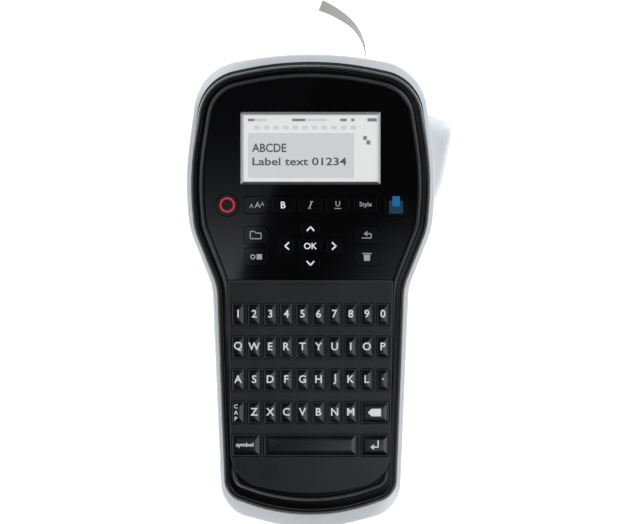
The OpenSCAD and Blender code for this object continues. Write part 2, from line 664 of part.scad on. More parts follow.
// ---- Cutter ----
function from_lever(x, y) = [lever_at[0] + x, lever_at[1] + y];
module lever_plate(points, z0, z1) {
  translate([0, 0, z0]) linear_extrude(z1 - z0)
    polygon([for (p = points) from_lever(p[0], p[1])]);
}
pocket_z = tape_z + 4;
arm_z = [tape_z - 3, tape_z + 3];
module cutter_lever() laid() color("#d3d6d8") difference() {
  union() {
    lever_plate([[-3, -2], [5, -2.5], [7.3, 0.4], [10.3, 7.2], [11.6, 13.2], [13.3, 21.7],
      [14.6, 28], [14.6, 31.8], [12, 34.6], [7.8, 36.3], [1.5, 38.3]], lever_bottom, lever_top);
    lever_plate([[-2, 3], [2.5, 3], [2.5, 26], [-3.2, 47.5], [-6.4, 48.5],
      [-4.4, 26]], arm_z[0],
      arm_z[1]);
    rod(3.6, lever_at[0], lever_at[1], lever_bottom, lever_top);
  }
  rod(5.4, lever_at[0], lever_at[1], pocket_z, lever_top + 1);
  rod(shaft_r + pivot_gap, lever_at[0], lever_at[1], -100, 0);
}
module cutter_pin() laid() color("#b5b8bb")
  rod(shaft_r, lever_at[0], lever_at[1], lever_bottom - 2.8, chassis_top);
// Torsion spring: a round wire wound round the pin, with one leg on the chassis peg side and
// one along the arm
wire_r = 0.35;
coil_r = 3.4;
coil_turns = 3.25;
coil_steps = 16;
coil_low = pocket_z + 0.5;
coil_pitch = (lever_top - coil_low - 2 * wire_r - 0.3) / coil_turns;
function coil_ring(a) = [for (k = [0:5]) let (r = coil_r + wire_r * cos(k * 60))
  [lever_at[0] + r * cos(a), lever_at[1] + r * sin(a),
   coil_low + wire_r + coil_pitch * a / 360 + wire_r * sin(k * 60)]];
module cutter_spring() laid() color("#8f9295") {
  n = ceil(coil_turns * coil_steps);
  points = [for (i = [0:n]) each coil_ring(i * 360 * coil_turns / n)];
  polyhedron(points, concat([[0, 1, 2, 3, 4, 5]], [[for (k = [5:-1:0]) n * 6 + k]],
    [for (i = [0:n - 1], k = [0:5]) let (a = i * 6, b = (k + 1) % 6)
      each [[a + k, a + 6 + k, a + 6 + b], [a + k, a + 6 + b, a + b]]]));
}
carriage_x0 = tape_x + carriage_travel + 0.7;
carriage_x1 = lever_at[0] - 6.9;
module blade_carriage() laid() color("#45484c") difference() {
  block(carriage_x0, carriage_x1, cut_y - 1.05, cut_y + 3.35, tape_z - tape_w / 2 - 1,
    chassis_bottom - 0.2);
  block(carriage_x0 - 1, carriage_x0 + 2.52, cut_y, cut_y + blade_t, -100, 0);
}
module cutter_blade() laid() color("#c6c9cc")
  block(tape_x + 0.9, carriage_x0 + 2.5, cut_y + 0.01, cut_y + blade_t - 0.01,
    tape_z - tape_w / 2 - 0.6, tape_z + tape_w / 2 + 0.6);

front_housing();
faceplate();
keypad_plate();
display_lens();
lcd_module();
keypad_membrane();
main_board();
small_screws();
port_sockets();
back_housing();
housing_screws();
cassette_door();
door_hinge_pin();
battery_cover();
battery_tray();
battery_pack();
battery_contacts();
chassis();
motor();
motor_pinion();
reduction_gear();
platen_roller();
take_up_gear();
print_head();
cassette_case();
tape_roll();
ribbon_roll();
ribbon_take_up();
inner_tape();
label_tape();
cutter_lever();
cutter_pin();
cutter_spring();
blade_carriage();
cutter_blade();
for (i = [0:len(FUNCTION_NODES) - 1])
  function_key(i);
for (i = [0:len(LETTER_NODES) - 1])
  letter_keys(i);
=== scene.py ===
"""Looks of the handheld label maker. Shapes are drawn in millimetres in the frame of the front
face (x right, y from heel to head, z = 0 on the bezel) and put in the row frame by TO_ROW."""
import json
import math

import bmesh
import bpy
from mathutils import Matrix, Vector

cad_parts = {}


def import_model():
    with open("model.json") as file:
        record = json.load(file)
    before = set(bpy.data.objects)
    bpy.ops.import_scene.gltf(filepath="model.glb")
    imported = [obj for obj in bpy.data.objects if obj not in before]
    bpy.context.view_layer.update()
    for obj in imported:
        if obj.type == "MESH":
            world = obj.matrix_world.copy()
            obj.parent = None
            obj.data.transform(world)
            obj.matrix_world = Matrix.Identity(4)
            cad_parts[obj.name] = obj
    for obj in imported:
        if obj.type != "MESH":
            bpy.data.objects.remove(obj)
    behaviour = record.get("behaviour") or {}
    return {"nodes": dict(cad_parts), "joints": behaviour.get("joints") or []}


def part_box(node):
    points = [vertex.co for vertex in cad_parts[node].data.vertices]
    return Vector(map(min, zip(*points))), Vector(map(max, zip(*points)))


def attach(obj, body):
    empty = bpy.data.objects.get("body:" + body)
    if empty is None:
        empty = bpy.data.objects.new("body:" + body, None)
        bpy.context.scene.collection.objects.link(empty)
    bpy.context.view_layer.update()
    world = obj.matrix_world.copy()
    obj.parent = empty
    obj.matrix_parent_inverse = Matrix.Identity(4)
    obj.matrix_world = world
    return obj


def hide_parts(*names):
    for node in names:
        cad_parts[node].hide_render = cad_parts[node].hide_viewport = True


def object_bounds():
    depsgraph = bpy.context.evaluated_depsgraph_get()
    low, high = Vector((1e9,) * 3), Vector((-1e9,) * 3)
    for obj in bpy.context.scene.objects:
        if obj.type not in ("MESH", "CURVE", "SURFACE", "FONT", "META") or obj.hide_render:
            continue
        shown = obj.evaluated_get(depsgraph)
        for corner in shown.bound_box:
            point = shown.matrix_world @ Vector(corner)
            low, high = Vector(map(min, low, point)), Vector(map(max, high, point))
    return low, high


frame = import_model()
CAD_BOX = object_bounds()
MM = 0.001

# ---- The frame of the front face, from the frame of the row ----
JOINTS = {j["name"]: j for j in frame["joints"]}
TILT = math.asin(JOINTS["space_bar_press"]["axis"][1])
LENS_LOW, LENS_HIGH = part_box("display_lens")
GRIP_LEN, HEAD_LEN, CASE_DEPTH = 102.5, 97.9, 52.0
TOP_Y = GRIP_LEN + HEAD_LEN
WAIST_Y = GRIP_LEN
DISPLAY_Y = WAIST_Y + 58.9
LENS_W, LENS_H, PLATE_T = 59.5, 30.9, 1.2
FRONT_DEPTH = 18.0
# Where along the case its depth is measured
DEPTH_Y = TOP_Y - 20
# The lens is a plate that is centred on the display, with its face on the bezel plane
LENS_MIDDLE = Vector((LENS_LOW + LENS_HIGH) / 2)
TURN = Matrix.Rotation(TILT, 4, "X")
ORIGIN = LENS_MIDDLE - (TURN @ Vector((0, DISPLAY_Y, -PLATE_T / 2))) * MM
TO_ROW = Matrix.Translation(ORIGIN) @ TURN @ Matrix.Scale(MM, 4)


def row_point(x, y, z):
    return TO_ROW @ Vector((x, y, z))


def rest_z(y):
    """Level of the flat back under the front face, at y."""
    return -CASE_DEPTH + (DEPTH_Y - y) * math.tan(TILT)


# ---- Outlines: corners [x, y, fillet radius], right half from top to bottom ----
HEAD_W, GRIP_W, EDGE = 106.2, 83.4, 1.9
HEAD_X, GRIP_X = HEAD_W / 2 - EDGE, GRIP_W / 2 - EDGE


def both_halves(bottom, half, top):
    left = [(-x, y, r) for x, y, r in half]
    return [bottom] + half[::-1] + [top] + left


BLACK = both_halves((0, 0.4, 80), [
    (HEAD_X - 5.4, TOP_Y - 10.2, 20), (HEAD_X + 0.9, WAIST_Y + 46.5, 120),
    (HEAD_X - 1.2, WAIST_Y + 24.5, 30), (GRIP_X + 0.4, WAIST_Y, 25), (GRIP_X - 3, 13.4, 10)],
    (0, TOP_Y, 135))
SILVER = both_halves((0, -3, 70), [
    (HEAD_X - 5.4 + EDGE, TOP_Y - 4.5, 21.9), (HEAD_X + 0.9 + EDGE, WAIST_Y + 46.5, 120),
    (HEAD_X - 1.2 + EDGE, WAIST_Y + 24.5, 30), (GRIP_X + 0.4 + EDGE, WAIST_Y, 24),
    (GRIP_X - 3.6 + EDGE, 6.8, 15)], (0, TOP_Y + 4.4, 160))


def box_corners(w, h, r):
    return [(-w / 2, -h / 2, r), (w / 2, -h / 2, r), (w / 2, h / 2, r), (-w / 2, h / 2, r)]


def side_normal(a, b):
    d = Vector((b[0] - a[0], b[1] - a[1])).normalized()
    return Vector((d.y, -d.x))


# Divides a fillet's angle times the root of its radius to give its number of steps
FILLET_FINENESS = 24.0


def outline(corners, inset=0.0, even=0):
    """A closed outline with a fillet at each corner, moved inwards by inset. Every inset of
    the same corners gives as many points, so outlines join up as rings; even sets the steps
    of every fillet."""
    points = []
    for i, v in enumerate(corners):
        n1 = side_normal(corners[i - 1], v)
        n2 = side_normal(v, corners[(i + 1) % len(corners)])
        turn = math.asin(n1.x * n2.y - n1.y * n2.x)
        sign = -1 if turn < 0 else 1
        r = sign * v[2] - inset
        centre = Vector(v[:2]) - sign * v[2] * (n1 + n2) / (1 + n1.dot(n2))
        start = math.atan2(n1.y, n1.x)
        arc = abs(math.degrees(turn)) * math.sqrt(v[2])
        steps = even or max(3, math.ceil(arc / FILLET_FINENESS))
        for k in range(steps + 1):
            a = start + turn * k / steps
            points.append((centre.x + r * math.cos(a), centre.y + r * math.sin(a)))
    return points


# ---- Meshes ----
# Points closer than this are joined, in a mesh in metres and in one in millimetres
MERGE_M, MERGE_MM = 1e-6, 1e-5


def placed_object(name, bm, materials, smooth):
    """Puts a finished bmesh, in millimetres of the front face, in the row frame."""
    bm.transform(TO_ROW)
    mesh = bpy.data.meshes.new(name)
    bm.to_mesh(mesh)
    bm.free()
    for m in materials:
        mesh.materials.append(m)
    obj = bpy.data.objects.new(name, mesh)
    bpy.context.scene.collection.objects.link(obj)
    shade(obj, smooth)
    return obj


def new_object(name, bm, materials, smooth=35):
    """A placed object whose faces are first turned outwards."""
    bmesh.ops.recalc_face_normals(bm, faces=bm.faces)
    return placed_object(name, bm, materials, smooth)


def shade(obj, angle):
    """Smooth shading, with every edge sharper than the angle left sharp."""
    obj.data.polygons.foreach_set("use_smooth", [True] * len(obj.data.polygons))
    obj.data.set_sharp_from_angle(angle=math.radians(angle))


def loft(bm, rings, bands=None, cap=(True, True)):
    """Joins rings of equal length with quads; bands gives each strip's material."""
    loops = [[bm.verts.new(p) for p in ring] for ring in rings]
    n = len(loops[0])
    for k in range(len(loops) - 1):
        low, high = loops[k], loops[k + 1]
        for i in range(n):
            j = (i + 1) % n
            face = bm.faces.new((low[i], low[j], high[j], high[i]))
            face.material_index = bands[k] if bands else 0
    if cap[0]:
        bm.faces.new(loops[0][::-1]).material_index = bands[0] if bands else 0
    if cap[1]:
        bm.faces.new(loops[-1]).material_index = bands[-1] if bands else 0
    return loops


def at_level(points, z):
    return [(x, y, z) for x, y in points]


def cleaned(obj):
    """Joins doubled points and drops the slivers that a boolean leaves."""
    bm = bmesh.new()
    bm.from_mesh(obj.data)
    bmesh.ops.remove_doubles(bm, verts=bm.verts, dist=MERGE_M)
    bmesh.ops.dissolve_degenerate(bm, dist=MERGE_M, edges=bm.edges)
    bm.to_mesh(obj.data)
    bm.free()
    return obj


def evaluated(obj):
    """Applies the modifiers of an object and drops them."""
    bpy.context.view_layer.update()
    deps = bpy.context.evaluated_depsgraph_get()
    mesh = bpy.data.meshes.new_from_object(obj.evaluated_get(deps))
    obj.modifiers.clear()
    obj.data = mesh
    return obj


def boolean(obj, other, operation):
    """Cuts or joins obj with other, which is used up."""
    mod = obj.modifiers.new("cut", "BOOLEAN")
    mod.operation, mod.object, mod.solver = operation, other, "EXACT"
    mod.material_mode = "TRANSFER"
    evaluated(obj)
    bpy.data.objects.remove(other)
    return obj


def merged_copy(node, name, material):
    """A copy of a CAD node whose loose triangles are joined into one closed mesh."""
    obj = bpy.data.objects.new(name, frame["nodes"][node].data.copy())
    bpy.context.scene.collection.objects.link(obj)
    bm = bmesh.new()
    bm.from_mesh(obj.data)
    bmesh.ops.remove_doubles(bm, verts=bm.verts, dist=MERGE_M)
    bmesh.ops.dissolve_limit(bm, angle_limit=math.radians(0.5), verts=bm.verts, edges=bm.edges)
    bm.to_mesh(obj.data)
    bm.free()
    obj.data.materials.clear()
    obj.data.materials.append(material)
    return obj


def skinned_copy(node, name, material, skin, angle):
    """A merged copy of a CAD node, cut down to what lies inside a smooth skin."""
    obj = boolean(merged_copy(node, name, material), skin, "INTERSECT")
    shade(obj, angle)
    return obj


def finish_piece(obj, body, slot, *nodes):
    """Gives a piece the CAD nodes that it stands for, which it hides, and its body. slot is not
    used.
    """
    if nodes:
        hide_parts(*nodes)
    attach(obj, body)
    return obj


# ---- Materials ----
def linear(hex_colour):
    """An sRGB hex colour as linear RGBA."""
    channels = [int(hex_colour[i:i + 2], 16) / 255 for i in (1, 3, 5)]
    return [c / 12.92 if c <= 0.04045 else ((c + 0.055) / 1.055) ** 2.4 for c in channels] + [1]


def add(tree, kind, settings=None, **links):
    """Adds one node. settings are its properties; links go to its inputs by name, as another
    node's output or as a value."""
    node = tree.nodes.new(kind)
    for key, value in (settings or {}).items():
        setattr(node, key, value)
    for key, value in links.items():
        socket = node.inputs[int(key[1:])] if key[0] == "_" else node.inputs[key.replace("_", " ")]
        if isinstance(value, bpy.types.NodeSocket):
            tree.links.new(value, socket)
        else:
            socket.default_value = value
    return node


def blank(name):
    material = bpy.data.materials.new(name)
    material.use_nodes = True
    material.node_tree.nodes.clear()
    return material, material.node_tree


def surface(tree, shader):
    tree.links.new(shader, add(tree, "ShaderNodeOutputMaterial").inputs["Surface"])


def plastic(name, low, high, roughness, grain_mm, bump, spread=0.05, **settings):
    """A moulded plastic or coated finish. Its colour drifts between two close shades, its
    gloss varies a little, and a fine grain of grain_mm lifts the surface."""
    material, tree = blank(name)
    place_at = add(tree, "ShaderNodeTexCoord").outputs["Object"]
    drift = add(tree, "ShaderNodeTexNoise", Vector=place_at, Scale=45.0, Detail=2.0)
    colour = add(tree, "ShaderNodeMix", {"data_type": "RGBA"}, _0=drift.outputs["Fac"],
                 _6=linear(low), _7=linear(high))
    gloss = add(tree, "ShaderNodeMapRange", Value=drift.outputs["Fac"], _1=0.3, _2=0.7,
                _3=max(0.0, roughness - spread), _4=roughness + spread)
    grain = add(tree, "ShaderNodeTexNoise", Vector=place_at, Scale=1000.0 / grain_mm, Detail=1.0)
    lift = add(tree, "ShaderNodeBump", Height=grain.outputs["Fac"], Strength=bump,
               Distance=0.00005)
    shader = add(tree, "ShaderNodeBsdfPrincipled", Base_Color=colour.outputs[2],
                 Roughness=gloss.outputs["Result"], Normal=lift.outputs["Normal"])
    for key, value in settings.items():
        shader.inputs[key.replace("_", " ")].default_value = value
    surface(tree, shader.outputs["BSDF"])
    return material


def metal(name, low, high, roughness, grain_mm, bump=0.1):
    """A worked metal: full metallic, with fine marks of grain_mm."""
    return plastic(name, low, high, roughness, grain_mm, bump, spread=0.06, Metallic=1.0)


def plain(name, hex_colour, roughness, **settings):
    """Printed ink or a display segment: one even film, with a slight fleck in its gloss."""
    return plastic(name, hex_colour, hex_colour, roughness, 0.3, 0.02, spread=0.02, **settings)


# Black ABS, moulded in a polished tool: deep black with a clear gloss
GLOSS_ABS = plastic("gloss_black_abs", "#040405", "#070708", 0.16, 0.9, 0.03, 0.03, IOR=1.27)
# The rim's bands: a satin face outside, and a bevel inside in a lighter grey of its own as a
# painted highlight, which draws the thin light line round the faceplate
SATIN_RIM = plastic("satin_rim_abs", "#0b0b0c", "#101011", 0.34, 0.25, 0.1, IOR=1.25)
BEVEL_PAINTED_HIGHLIGHT = plastic("bevel_painted_highlight", "#2c2f32", "#34373a", 0.3, 0.4, 0.05)
# The parting line between the shells: bare dark ABS, dull. Round the head it widens into a strip
# of painted shade on the silver next to the black rim
JOINT_LINE_AND_SHADE = plastic("joint_line_and_painted_shade", "#2b2d2f", "#333537", 0.4, 0.4, 0.05)
# Printed acrylic faceplate: black ink behind clear acrylic, mirror smooth
PANEL = plastic("backprinted_acrylic", "#050506", "#070708", 0.05, 2.0, 0.0, 0.01)
# Satin moulded keypad plate
PLATE = plastic("satin_keypad_plate", "#090c0d", "#0e1112", 0.3, 0.2, 0.08)
# The plate's bevelled edge, in a lighter grey of its own as a painted highlight, which draws its
# light outline
PLATE_EDGE_PAINTED_HIGHLIGHT = plastic("plate_edge_painted_highlight", "#1b1f22", "#202428", 0.34, 0.2, 0.08)
# Letter keys: hard-coated polycarbonate caps, smooth and slightly blue
KEYCAP = plastic("coated_keycap", "#030506", "#06080a", 0.2, 0.25, 0.04, IOR=1.57)
FLUSH_KEY = plastic("acrylic_keycap", "#060607", "#090a0b", 0.06, 2.0, 0.0, 0.01)
# Silver paint over moulded ABS: fine flake, satin
SILVER_PAINT = plastic("silver_painted_abs", "#dadee1", "#e3e6e9", 0.33, 0.12, 0.08,
                       Metallic=0.1)
# Pad prints and laser marks: thin even films, a little duller than the keys under them
INK_WHITE = plain("white_pad_print", "#d9dbdc", 0.4)
LEGEND_INK = plain("keycap_laser_print", "#c3c6c9", 0.4)
INK_GREY = plain("grey_pad_print", "#8f9396", 0.4)
INK_RED = plain("red_pad_print", "#b3202f", 0.35)
INK_BLUE = plain("blue_pad_print", "#002c44", 0.3)
INK_LIGHT_BLUE = plain("light_blue_pad_print", "#005c8a", 0.3)
# Display layers: even films with a weak painted glow of their own, which lightens them
LCD_PAINTED_GLOW = {"Emission_Color": (0.98, 1.0, 0.99, 1), "IOR": 1.08}
LCD_BACK = plain("lcd_reflector", "#b4b4b4", 0.5, Emission_Strength=0.3, **LCD_PAINTED_GLOW)
LCD_FIELD = plain("lcd_grey_field", "#a0a0a2", 0.5, Emission_Strength=0.25, **LCD_PAINTED_GLOW)
LCD_DARK = plain("lcd_segment", "#6a6d6f", 0.5, Emission_Strength=0.06, **LCD_PAINTED_GLOW)
LCD_TEXT = plain("lcd_text", "#46494b", 0.5, Emission_Strength=0.03, **LCD_PAINTED_GLOW)
LCD_FRAME = plain("lcd_frame", "#55585a", 0.4)
# Coated label tape: a smooth film with a soft sheen
TAPE = plastic("coated_label_tape", "#948f8b", "#a39e9a", 0.38, 0.6, 0.04)


# ---- Front shell: the CAD shell, with its stepped rim turned into the real moulded one ----
# Rim profile: (inset, level, band). Bands: 0 gloss, 1 satin side, 2 bevel in a lighter grey, a
# painted highlight
RIM = [(0.1, -FRONT_DEPTH - 1, 1), (0.1, -5.0, 1), (0.16, -3.9, 0), (0.4, -2.7, 0),
       (0.85, -1.7, 0), (1.5, -0.95, 0), (2.35, -0.45, 0), (3.1, -0.24, 0), (3.9, -0.16, 0),
       (4.1, -0.2, 2), (4.5, -0.5, 2), (5.2, -1.02, 2), (5.32, -1.08, 0), (5.5, -1.0, 0),
       (6.0, -0.1, 0), (6.06, -0.04, 0), (6.1, 0.4, 0)]


def rim_corners(inset):
    """The outline's corners, with the bottom ones drawn up towards the keypad plate."""
    lift = 2.1 * min(1.0, max(0.0, (inset - 1.5) / 2.4))
    return [(x, y + lift, r) if y < 20 else (x, y, r) for x, y, r in BLACK]


def front_shell():
    bm = bmesh.new()
    loft(bm, [at_level(outline(rim_corners(inset), inset, even=14), z) for inset, z, _ in RIM],
         [band for _, _, band in RIM])
    skin = new_object("rim_skin", bm, [GLOSS_ABS, SATIN_RIM, BEVEL_PAINTED_HIGHLIGHT])
    shell = skinned_copy("front_housing", "front_shell", GLOSS_ABS, skin, 22)
    return finish_piece(shell, "case", "black_abs", "front_housing")


# How far the dark strip at the joint reaches out round the head as painted shade on the silver:
# sideways, upwards
SEAM_SHADE_REACH = (0.8, 1.7)
# Only the corners of the outline above this are widened
SEAM_FROM = TOP_Y - 20
# Its strip: insets of the outer and inner edge, levels of the low and high face from the joint
SEAM_OUTER, SEAM_INNER, SEAM_LOW, SEAM_HIGH = 0.15, 1.2, -0.3, 0.08


def head_joint_and_shade():
    """The dark joint line between the two shells, which shows round the top of the head, widened
    there past the black rim into a strip of painted shade.
    """
    aside, up = SEAM_SHADE_REACH
    opened = [(x + aside * (x > 0) - aside * (x < 0), y + up, r) if y > SEAM_FROM
              else (x, y, r) for x, y, r in BLACK]
    edges = ((opened, SEAM_OUTER, SEAM_LOW), (opened, SEAM_OUTER, SEAM_HIGH),
             (BLACK, SEAM_INNER, SEAM_HIGH), (BLACK, SEAM_INNER, SEAM_LOW))
    bm = bmesh.new()
    rings = [at_level(outline(corners, inset, even=14), -FRONT_DEPTH + z)
             for corners, inset, z in edges]
    loft(bm, rings + rings[:1], cap=(False, False))
    bmesh.ops.remove_doubles(bm, verts=bm.verts, dist=MERGE_MM)
    seam = new_object("head_joint_and_shade", bm, [JOINT_LINE_AND_SHADE], smooth=30)
    return finish_piece(seam, "case", "black_abs")


# Back shell profile at the table: (inset, height above the table)
FOOT = [(6.2, 0.0), (5.2, 0.12), (4.3, 0.6), (3.42, 1.45), (2.4, 2.5), (1.42, 3.85),
        (0.75, 5.3), (0.3, 6.9), (0.06, 8.6), (0.0, 10.0)]
# Its rounding at the joint: (inset, level from the joint)
LIP = [(0.0, -0.7), (0.18, -0.25), (0.5, -0.02), (0.9, 0.1)]
WALL = 2.0
HOLLOW_LOW, HOLLOW_HIGH, HOLLOW_DEPTH = 25.0, WAIST_Y - 10.5, 6.5


def above_rest(inset, height):
    """The back shell's outline, moved inwards, at a height above the table."""
    return [(x, y, rest_z(y) + height / math.cos(TILT)) for x, y in outline(SILVER, inset)]


def hollow_arc(extra=0.0):
    """Middle (row y, z) and radius of the finger hollow's cylinder, in metres."""
    low = row_point(0, HOLLOW_LOW, rest_z(HOLLOW_LOW)).y
    high = row_point(0, HOLLOW_HIGH, rest_z(HOLLOW_HIGH)).y
    half, depth = (high - low) / 2, HOLLOW_DEPTH * MM
    radius = (half ** 2 + depth ** 2) / (2 * depth)
    return (low + high) / 2, depth - radius, radius + extra * MM


def inner_corner():
    """The fillet inside the foot, which keeps the wall thick under the rounded edge. It stops
    at the finger hollow."""
    bm = bmesh.new()
    rings = [above_rest(inset, height) for inset, height in
             ((WALL - 0.3, WALL - 0.3), (WALL + 3.2, WALL - 0.3), (WALL - 0.3, WALL + 3.2))]
    loft(bm, rings + rings[:1], cap=(False, False))
    bmesh.ops.remove_doubles(bm, verts=bm.verts, dist=MERGE_MM)
    fillet = new_object("inner_corner", bm, [SILVER_PAINT])
    y, z, radius = hollow_arc(0.6)
    bm = bmesh.new()
    bmesh.ops.create_cone(bm, cap_ends=True, segments=192, radius1=radius, radius2=radius,
                          depth=0.2, matrix=Matrix.Translation((0, y, z))
                          @ Matrix.Rotation(math.pi / 2, 4, "Y"))
    bm.transform(TO_ROW.inverted())
    return boolean(fillet, new_object("hollow", bm, [SILVER_PAINT]), "DIFFERENCE")


def back_shell():
    bm = bmesh.new()
    rings = [above_rest(inset, height) for inset, height in FOOT]
    rings += [at_level(outline(SILVER, inset), -FRONT_DEPTH + z) for inset, z in LIP]
    loft(bm, rings)
    skin = new_object("back_skin", bm, [SILVER_PAINT])
    shell = merged_copy("back_housing", "back_shell", SILVER_PAINT)
    boolean(shell, inner_corner(), "UNION")
    boolean(shell, skin, "INTERSECT")
    shade(shell, 24)
    return finish_piece(shell, "case", "silver_abs", "back_housing")


PLATE_X = GRIP_X - 4.7
KEYPAD = [(0, 12.2, 90), (PLATE_X - 1.2, 20.2, 15), (PLATE_X, WAIST_Y + 2.7, 0.6),
          (-PLATE_X, WAIST_Y + 2.7, 0.6), (1.2 - PLATE_X, 20.2, 15)]


def keypad_surround():
    """The plate round the letter keys, with its outer edge bevelled to catch the light and painted
    a lighter grey as a painted highlight.
    """
    bm = bmesh.new()
    # Bands: 0 satin plate, 1 its edge in the lighter grey of the painted highlight
    loft(bm, [at_level(outline(KEYPAD, inset), z)
              for inset, z in ((-0.2, -3), (-0.2, -0.5), (0.0, -0.34), (0.34, -0.02),
                               (0.42, -0.006), (0.45, -0.005))], [0, 0, 1, 1, 0])
    skin = new_object("plate_skin", bm, [PLATE, PLATE_EDGE_PAINTED_HIGHLIGHT])
    plate = skinned_copy("keypad_plate", "keypad_surround", PLATE, skin, 20)
    return finish_piece(plate, "case", "satin_plate", "keypad_plate")


# ---- Legends: thin prints that stand 0.04 mm proud of their key ----
PRINT_T = 0.04
# Height of a capital in the built-in font, as a share of its size
CAPITAL_SHARE = 0.72


def text_print(bm, text, x, y, z, height, bold=0.0, span=0.0, index=1):
    """Adds letters as a thin print, centred on x, y, with its face at z + PRINT_T. Where span
    is given, the letters are drawn out to that width."""
    curve = bpy.data.curves.new("print", "FONT")
    curve.body, curve.align_x, curve.align_y = text, "CENTER", "CENTER"
    curve.size, curve.offset, curve.resolution_u = height / CAPITAL_SHARE, bold, 3
    curve.extrude = PRINT_T
    obj = bpy.data.objects.new("print", curve)
    bpy.context.scene.collection.objects.link(obj)
    bpy.context.view_layer.update()
    flat = bpy.data.meshes.new_from_object(obj.evaluated_get(
        bpy.context.evaluated_depsgraph_get()))
    bpy.data.objects.remove(obj)
    part = bmesh.new()
    part.from_mesh(flat)
    bpy.data.meshes.remove(flat)
    bmesh.ops.remove_doubles(part, verts=part.verts, dist=1e-4)
    bmesh.ops.dissolve_degenerate(part, dist=1e-4, edges=part.edges)
    xs = [v.co.x for v in part.verts]
    ys = [v.co.y for v in part.verts]
    centre = Vector(((min(xs) + max(xs)) / 2, (min(ys) + max(ys)) / 2, 0))
    width = span / (max(xs) - min(xs)) if span else 1.0
    for v in part.verts:
        v.co = Vector(((v.co.x - centre.x) * width + x, v.co.y - centre.y + y, v.co.z + z))
    for f in part.faces:
        f.material_index = index
    join(bm, part)


def join(bm, part):
    mesh = bpy.data.meshes.new("part")
    part.to_mesh(mesh)
    part.free()
    bm.from_mesh(mesh)
    bpy.data.meshes.remove(mesh)


def shape_print(bm, points, z, index=1):
    """A printed shape from its outline: a thin closed plate half sunk in its surface."""
    area = sum(a[0] * b[1] - b[0] * a[1] for a, b in zip(points, points[1:] + points[:1]))
    ring = list(points) if area > 0 else list(points)[::-1]
    loft(bm, [at_level(ring, z - PRINT_T), at_level(ring, z + PRINT_T)], [index])


def line_print(bm, points, width, z, index=1):
    """A printed line of even width through the points."""
    for (x0, y0), (x1, y1) in zip(points, points[1:]):
        d = Vector((x1 - x0, y1 - y0)).normalized() * width / 2
        n = Vector((-d.y, d.x))
        shape_print(bm, [(x0 - d.x + n.x, y0 - d.y + n.y), (x0 - d.x - n.x, y0 - d.y - n.y),
                         (x1 + d.x - n.x, y1 + d.y - n.y), (x1 + d.x + n.x, y1 + d.y + n.y)],
                    z, index)


def ring_print(bm, x, y, r, width, z, n=40):
    """A printed ring of n short pieces, from its top round."""
    for k in range(n):
        a, b = (math.pi / 2 + 2 * math.pi * i / n for i in (k, k + 1))
        shape_print(bm, [(x + (r - width) * math.cos(a), y + (r - width) * math.sin(a)),
                         (x + r * math.cos(a), y + r * math.sin(a)),
                         (x + r * math.cos(b), y + r * math.sin(b)),
                         (x + (r - width) * math.cos(b), y + (r - width) * math.sin(b))], z)


# ---- Keys ----
CAP_SMOOTH = 12
FLUSH_TOP, LETTER_TOP, STEM_Z = 0.04, 1.5, -3.9
FLUSH_PROFILE = [(0.0, STEM_Z), (0.0, -0.04), (0.03, 0.02), (0.08, FLUSH_TOP)]
LETTER_PROFILE = [(0.0, STEM_Z), (0.0, 0.3), (0.05, 0.65), (0.16, 0.92), (0.35, 1.08),
                  (0.7, 1.2), (1.1, 1.3), (1.5, 1.38), (1.9, 1.44), (2.3, 1.48), (2.55, 1.5)]


def cap(bm, x, y, w, h, r, profile):
    rings = []
    for inset, z in profile:
        shrunk = box_corners(w - 2 * inset, h - 2 * inset, max(r - inset * 0.45, 0.12))
        rings.append([(x + px, y + py, z) for px, py in outline(shrunk, even=8)])
    loft(bm, rings)


FUNCTION_Y, NAV_Y = WAIST_Y + 34.8, WAIST_Y + 17.35


def power_sign(bm, x, y):
    ring_print(bm, x, y, 3.3, 0.85, FLUSH_TOP)


def size_sign(bm, x, y):
    text_print(bm, "A", x - 1.7, y - 0.35, FLUSH_TOP, 1.9)
    text_print(bm, "A", x + 0.9, y, FLUSH_TOP, 2.6, 0.02)
    line_print(bm, [(x + 2.3, y - 0.3), (x + 3.0, y + 1.0), (x + 3.5, y - 0.3)], 0.3, FLUSH_TOP)


def bold_sign(bm, x, y):
    text_print(bm, "B", x, y, FLUSH_TOP, 2.9, 0.06)


def italic_sign(bm, x, y):
    line_print(bm, [(x - 0.5, y - 1.4), (x + 0.5, y + 1.4)], 0.5, FLUSH_TOP)
    line_print(bm, [(x - 1.0, y - 1.4), (x, y - 1.4)], 0.3, FLUSH_TOP)
    line_print(bm, [(x, y + 1.4), (x + 1.0, y + 1.4)], 0.3, FLUSH_TOP)


def underline_sign(bm, x, y):
    text_print(bm, "U", x, y + 0.5, FLUSH_TOP, 2.3, 0.02)
    line_print(bm, [(x - 1.2, y - 1.5), (x + 1.2, y - 1.5)], 0.35, FLUSH_TOP)


def style_sign(bm, x, y):
    text_print(bm, "Style", x, y, FLUSH_TOP, 2.0, 0.02)


def print_sign(bm, x, y):
    shape_print(bm, [(x - 3, y - 3.7), (x + 3, y - 3.7), (x + 3, y + 1.8), (x - 3, y + 1.8)],
                FLUSH_TOP)
    shape_print(bm, [(x - 1.6, y - 0.6), (x + 1.6, y - 0.6), (x + 1.6, y + 3.7),
                     (x - 1.6, y + 3.7)], FLUSH_TOP + 0.02, 2)


def arrow(dx, dy):
    def sign(bm, x, y):
        tip = Vector((dx, dy)) * 0.75
        side = Vector((-dy, dx)) * 1.35
        line_print(bm, [tuple(Vector((x, y)) - tip + side), tuple(Vector((x, y)) + tip),
                        tuple(Vector((x, y)) - tip - side)], 0.6, FLUSH_TOP)
    return sign


def ok_sign(bm, x, y):
    text_print(bm, "OK", x, y, FLUSH_TOP, 2.7, 0.05)


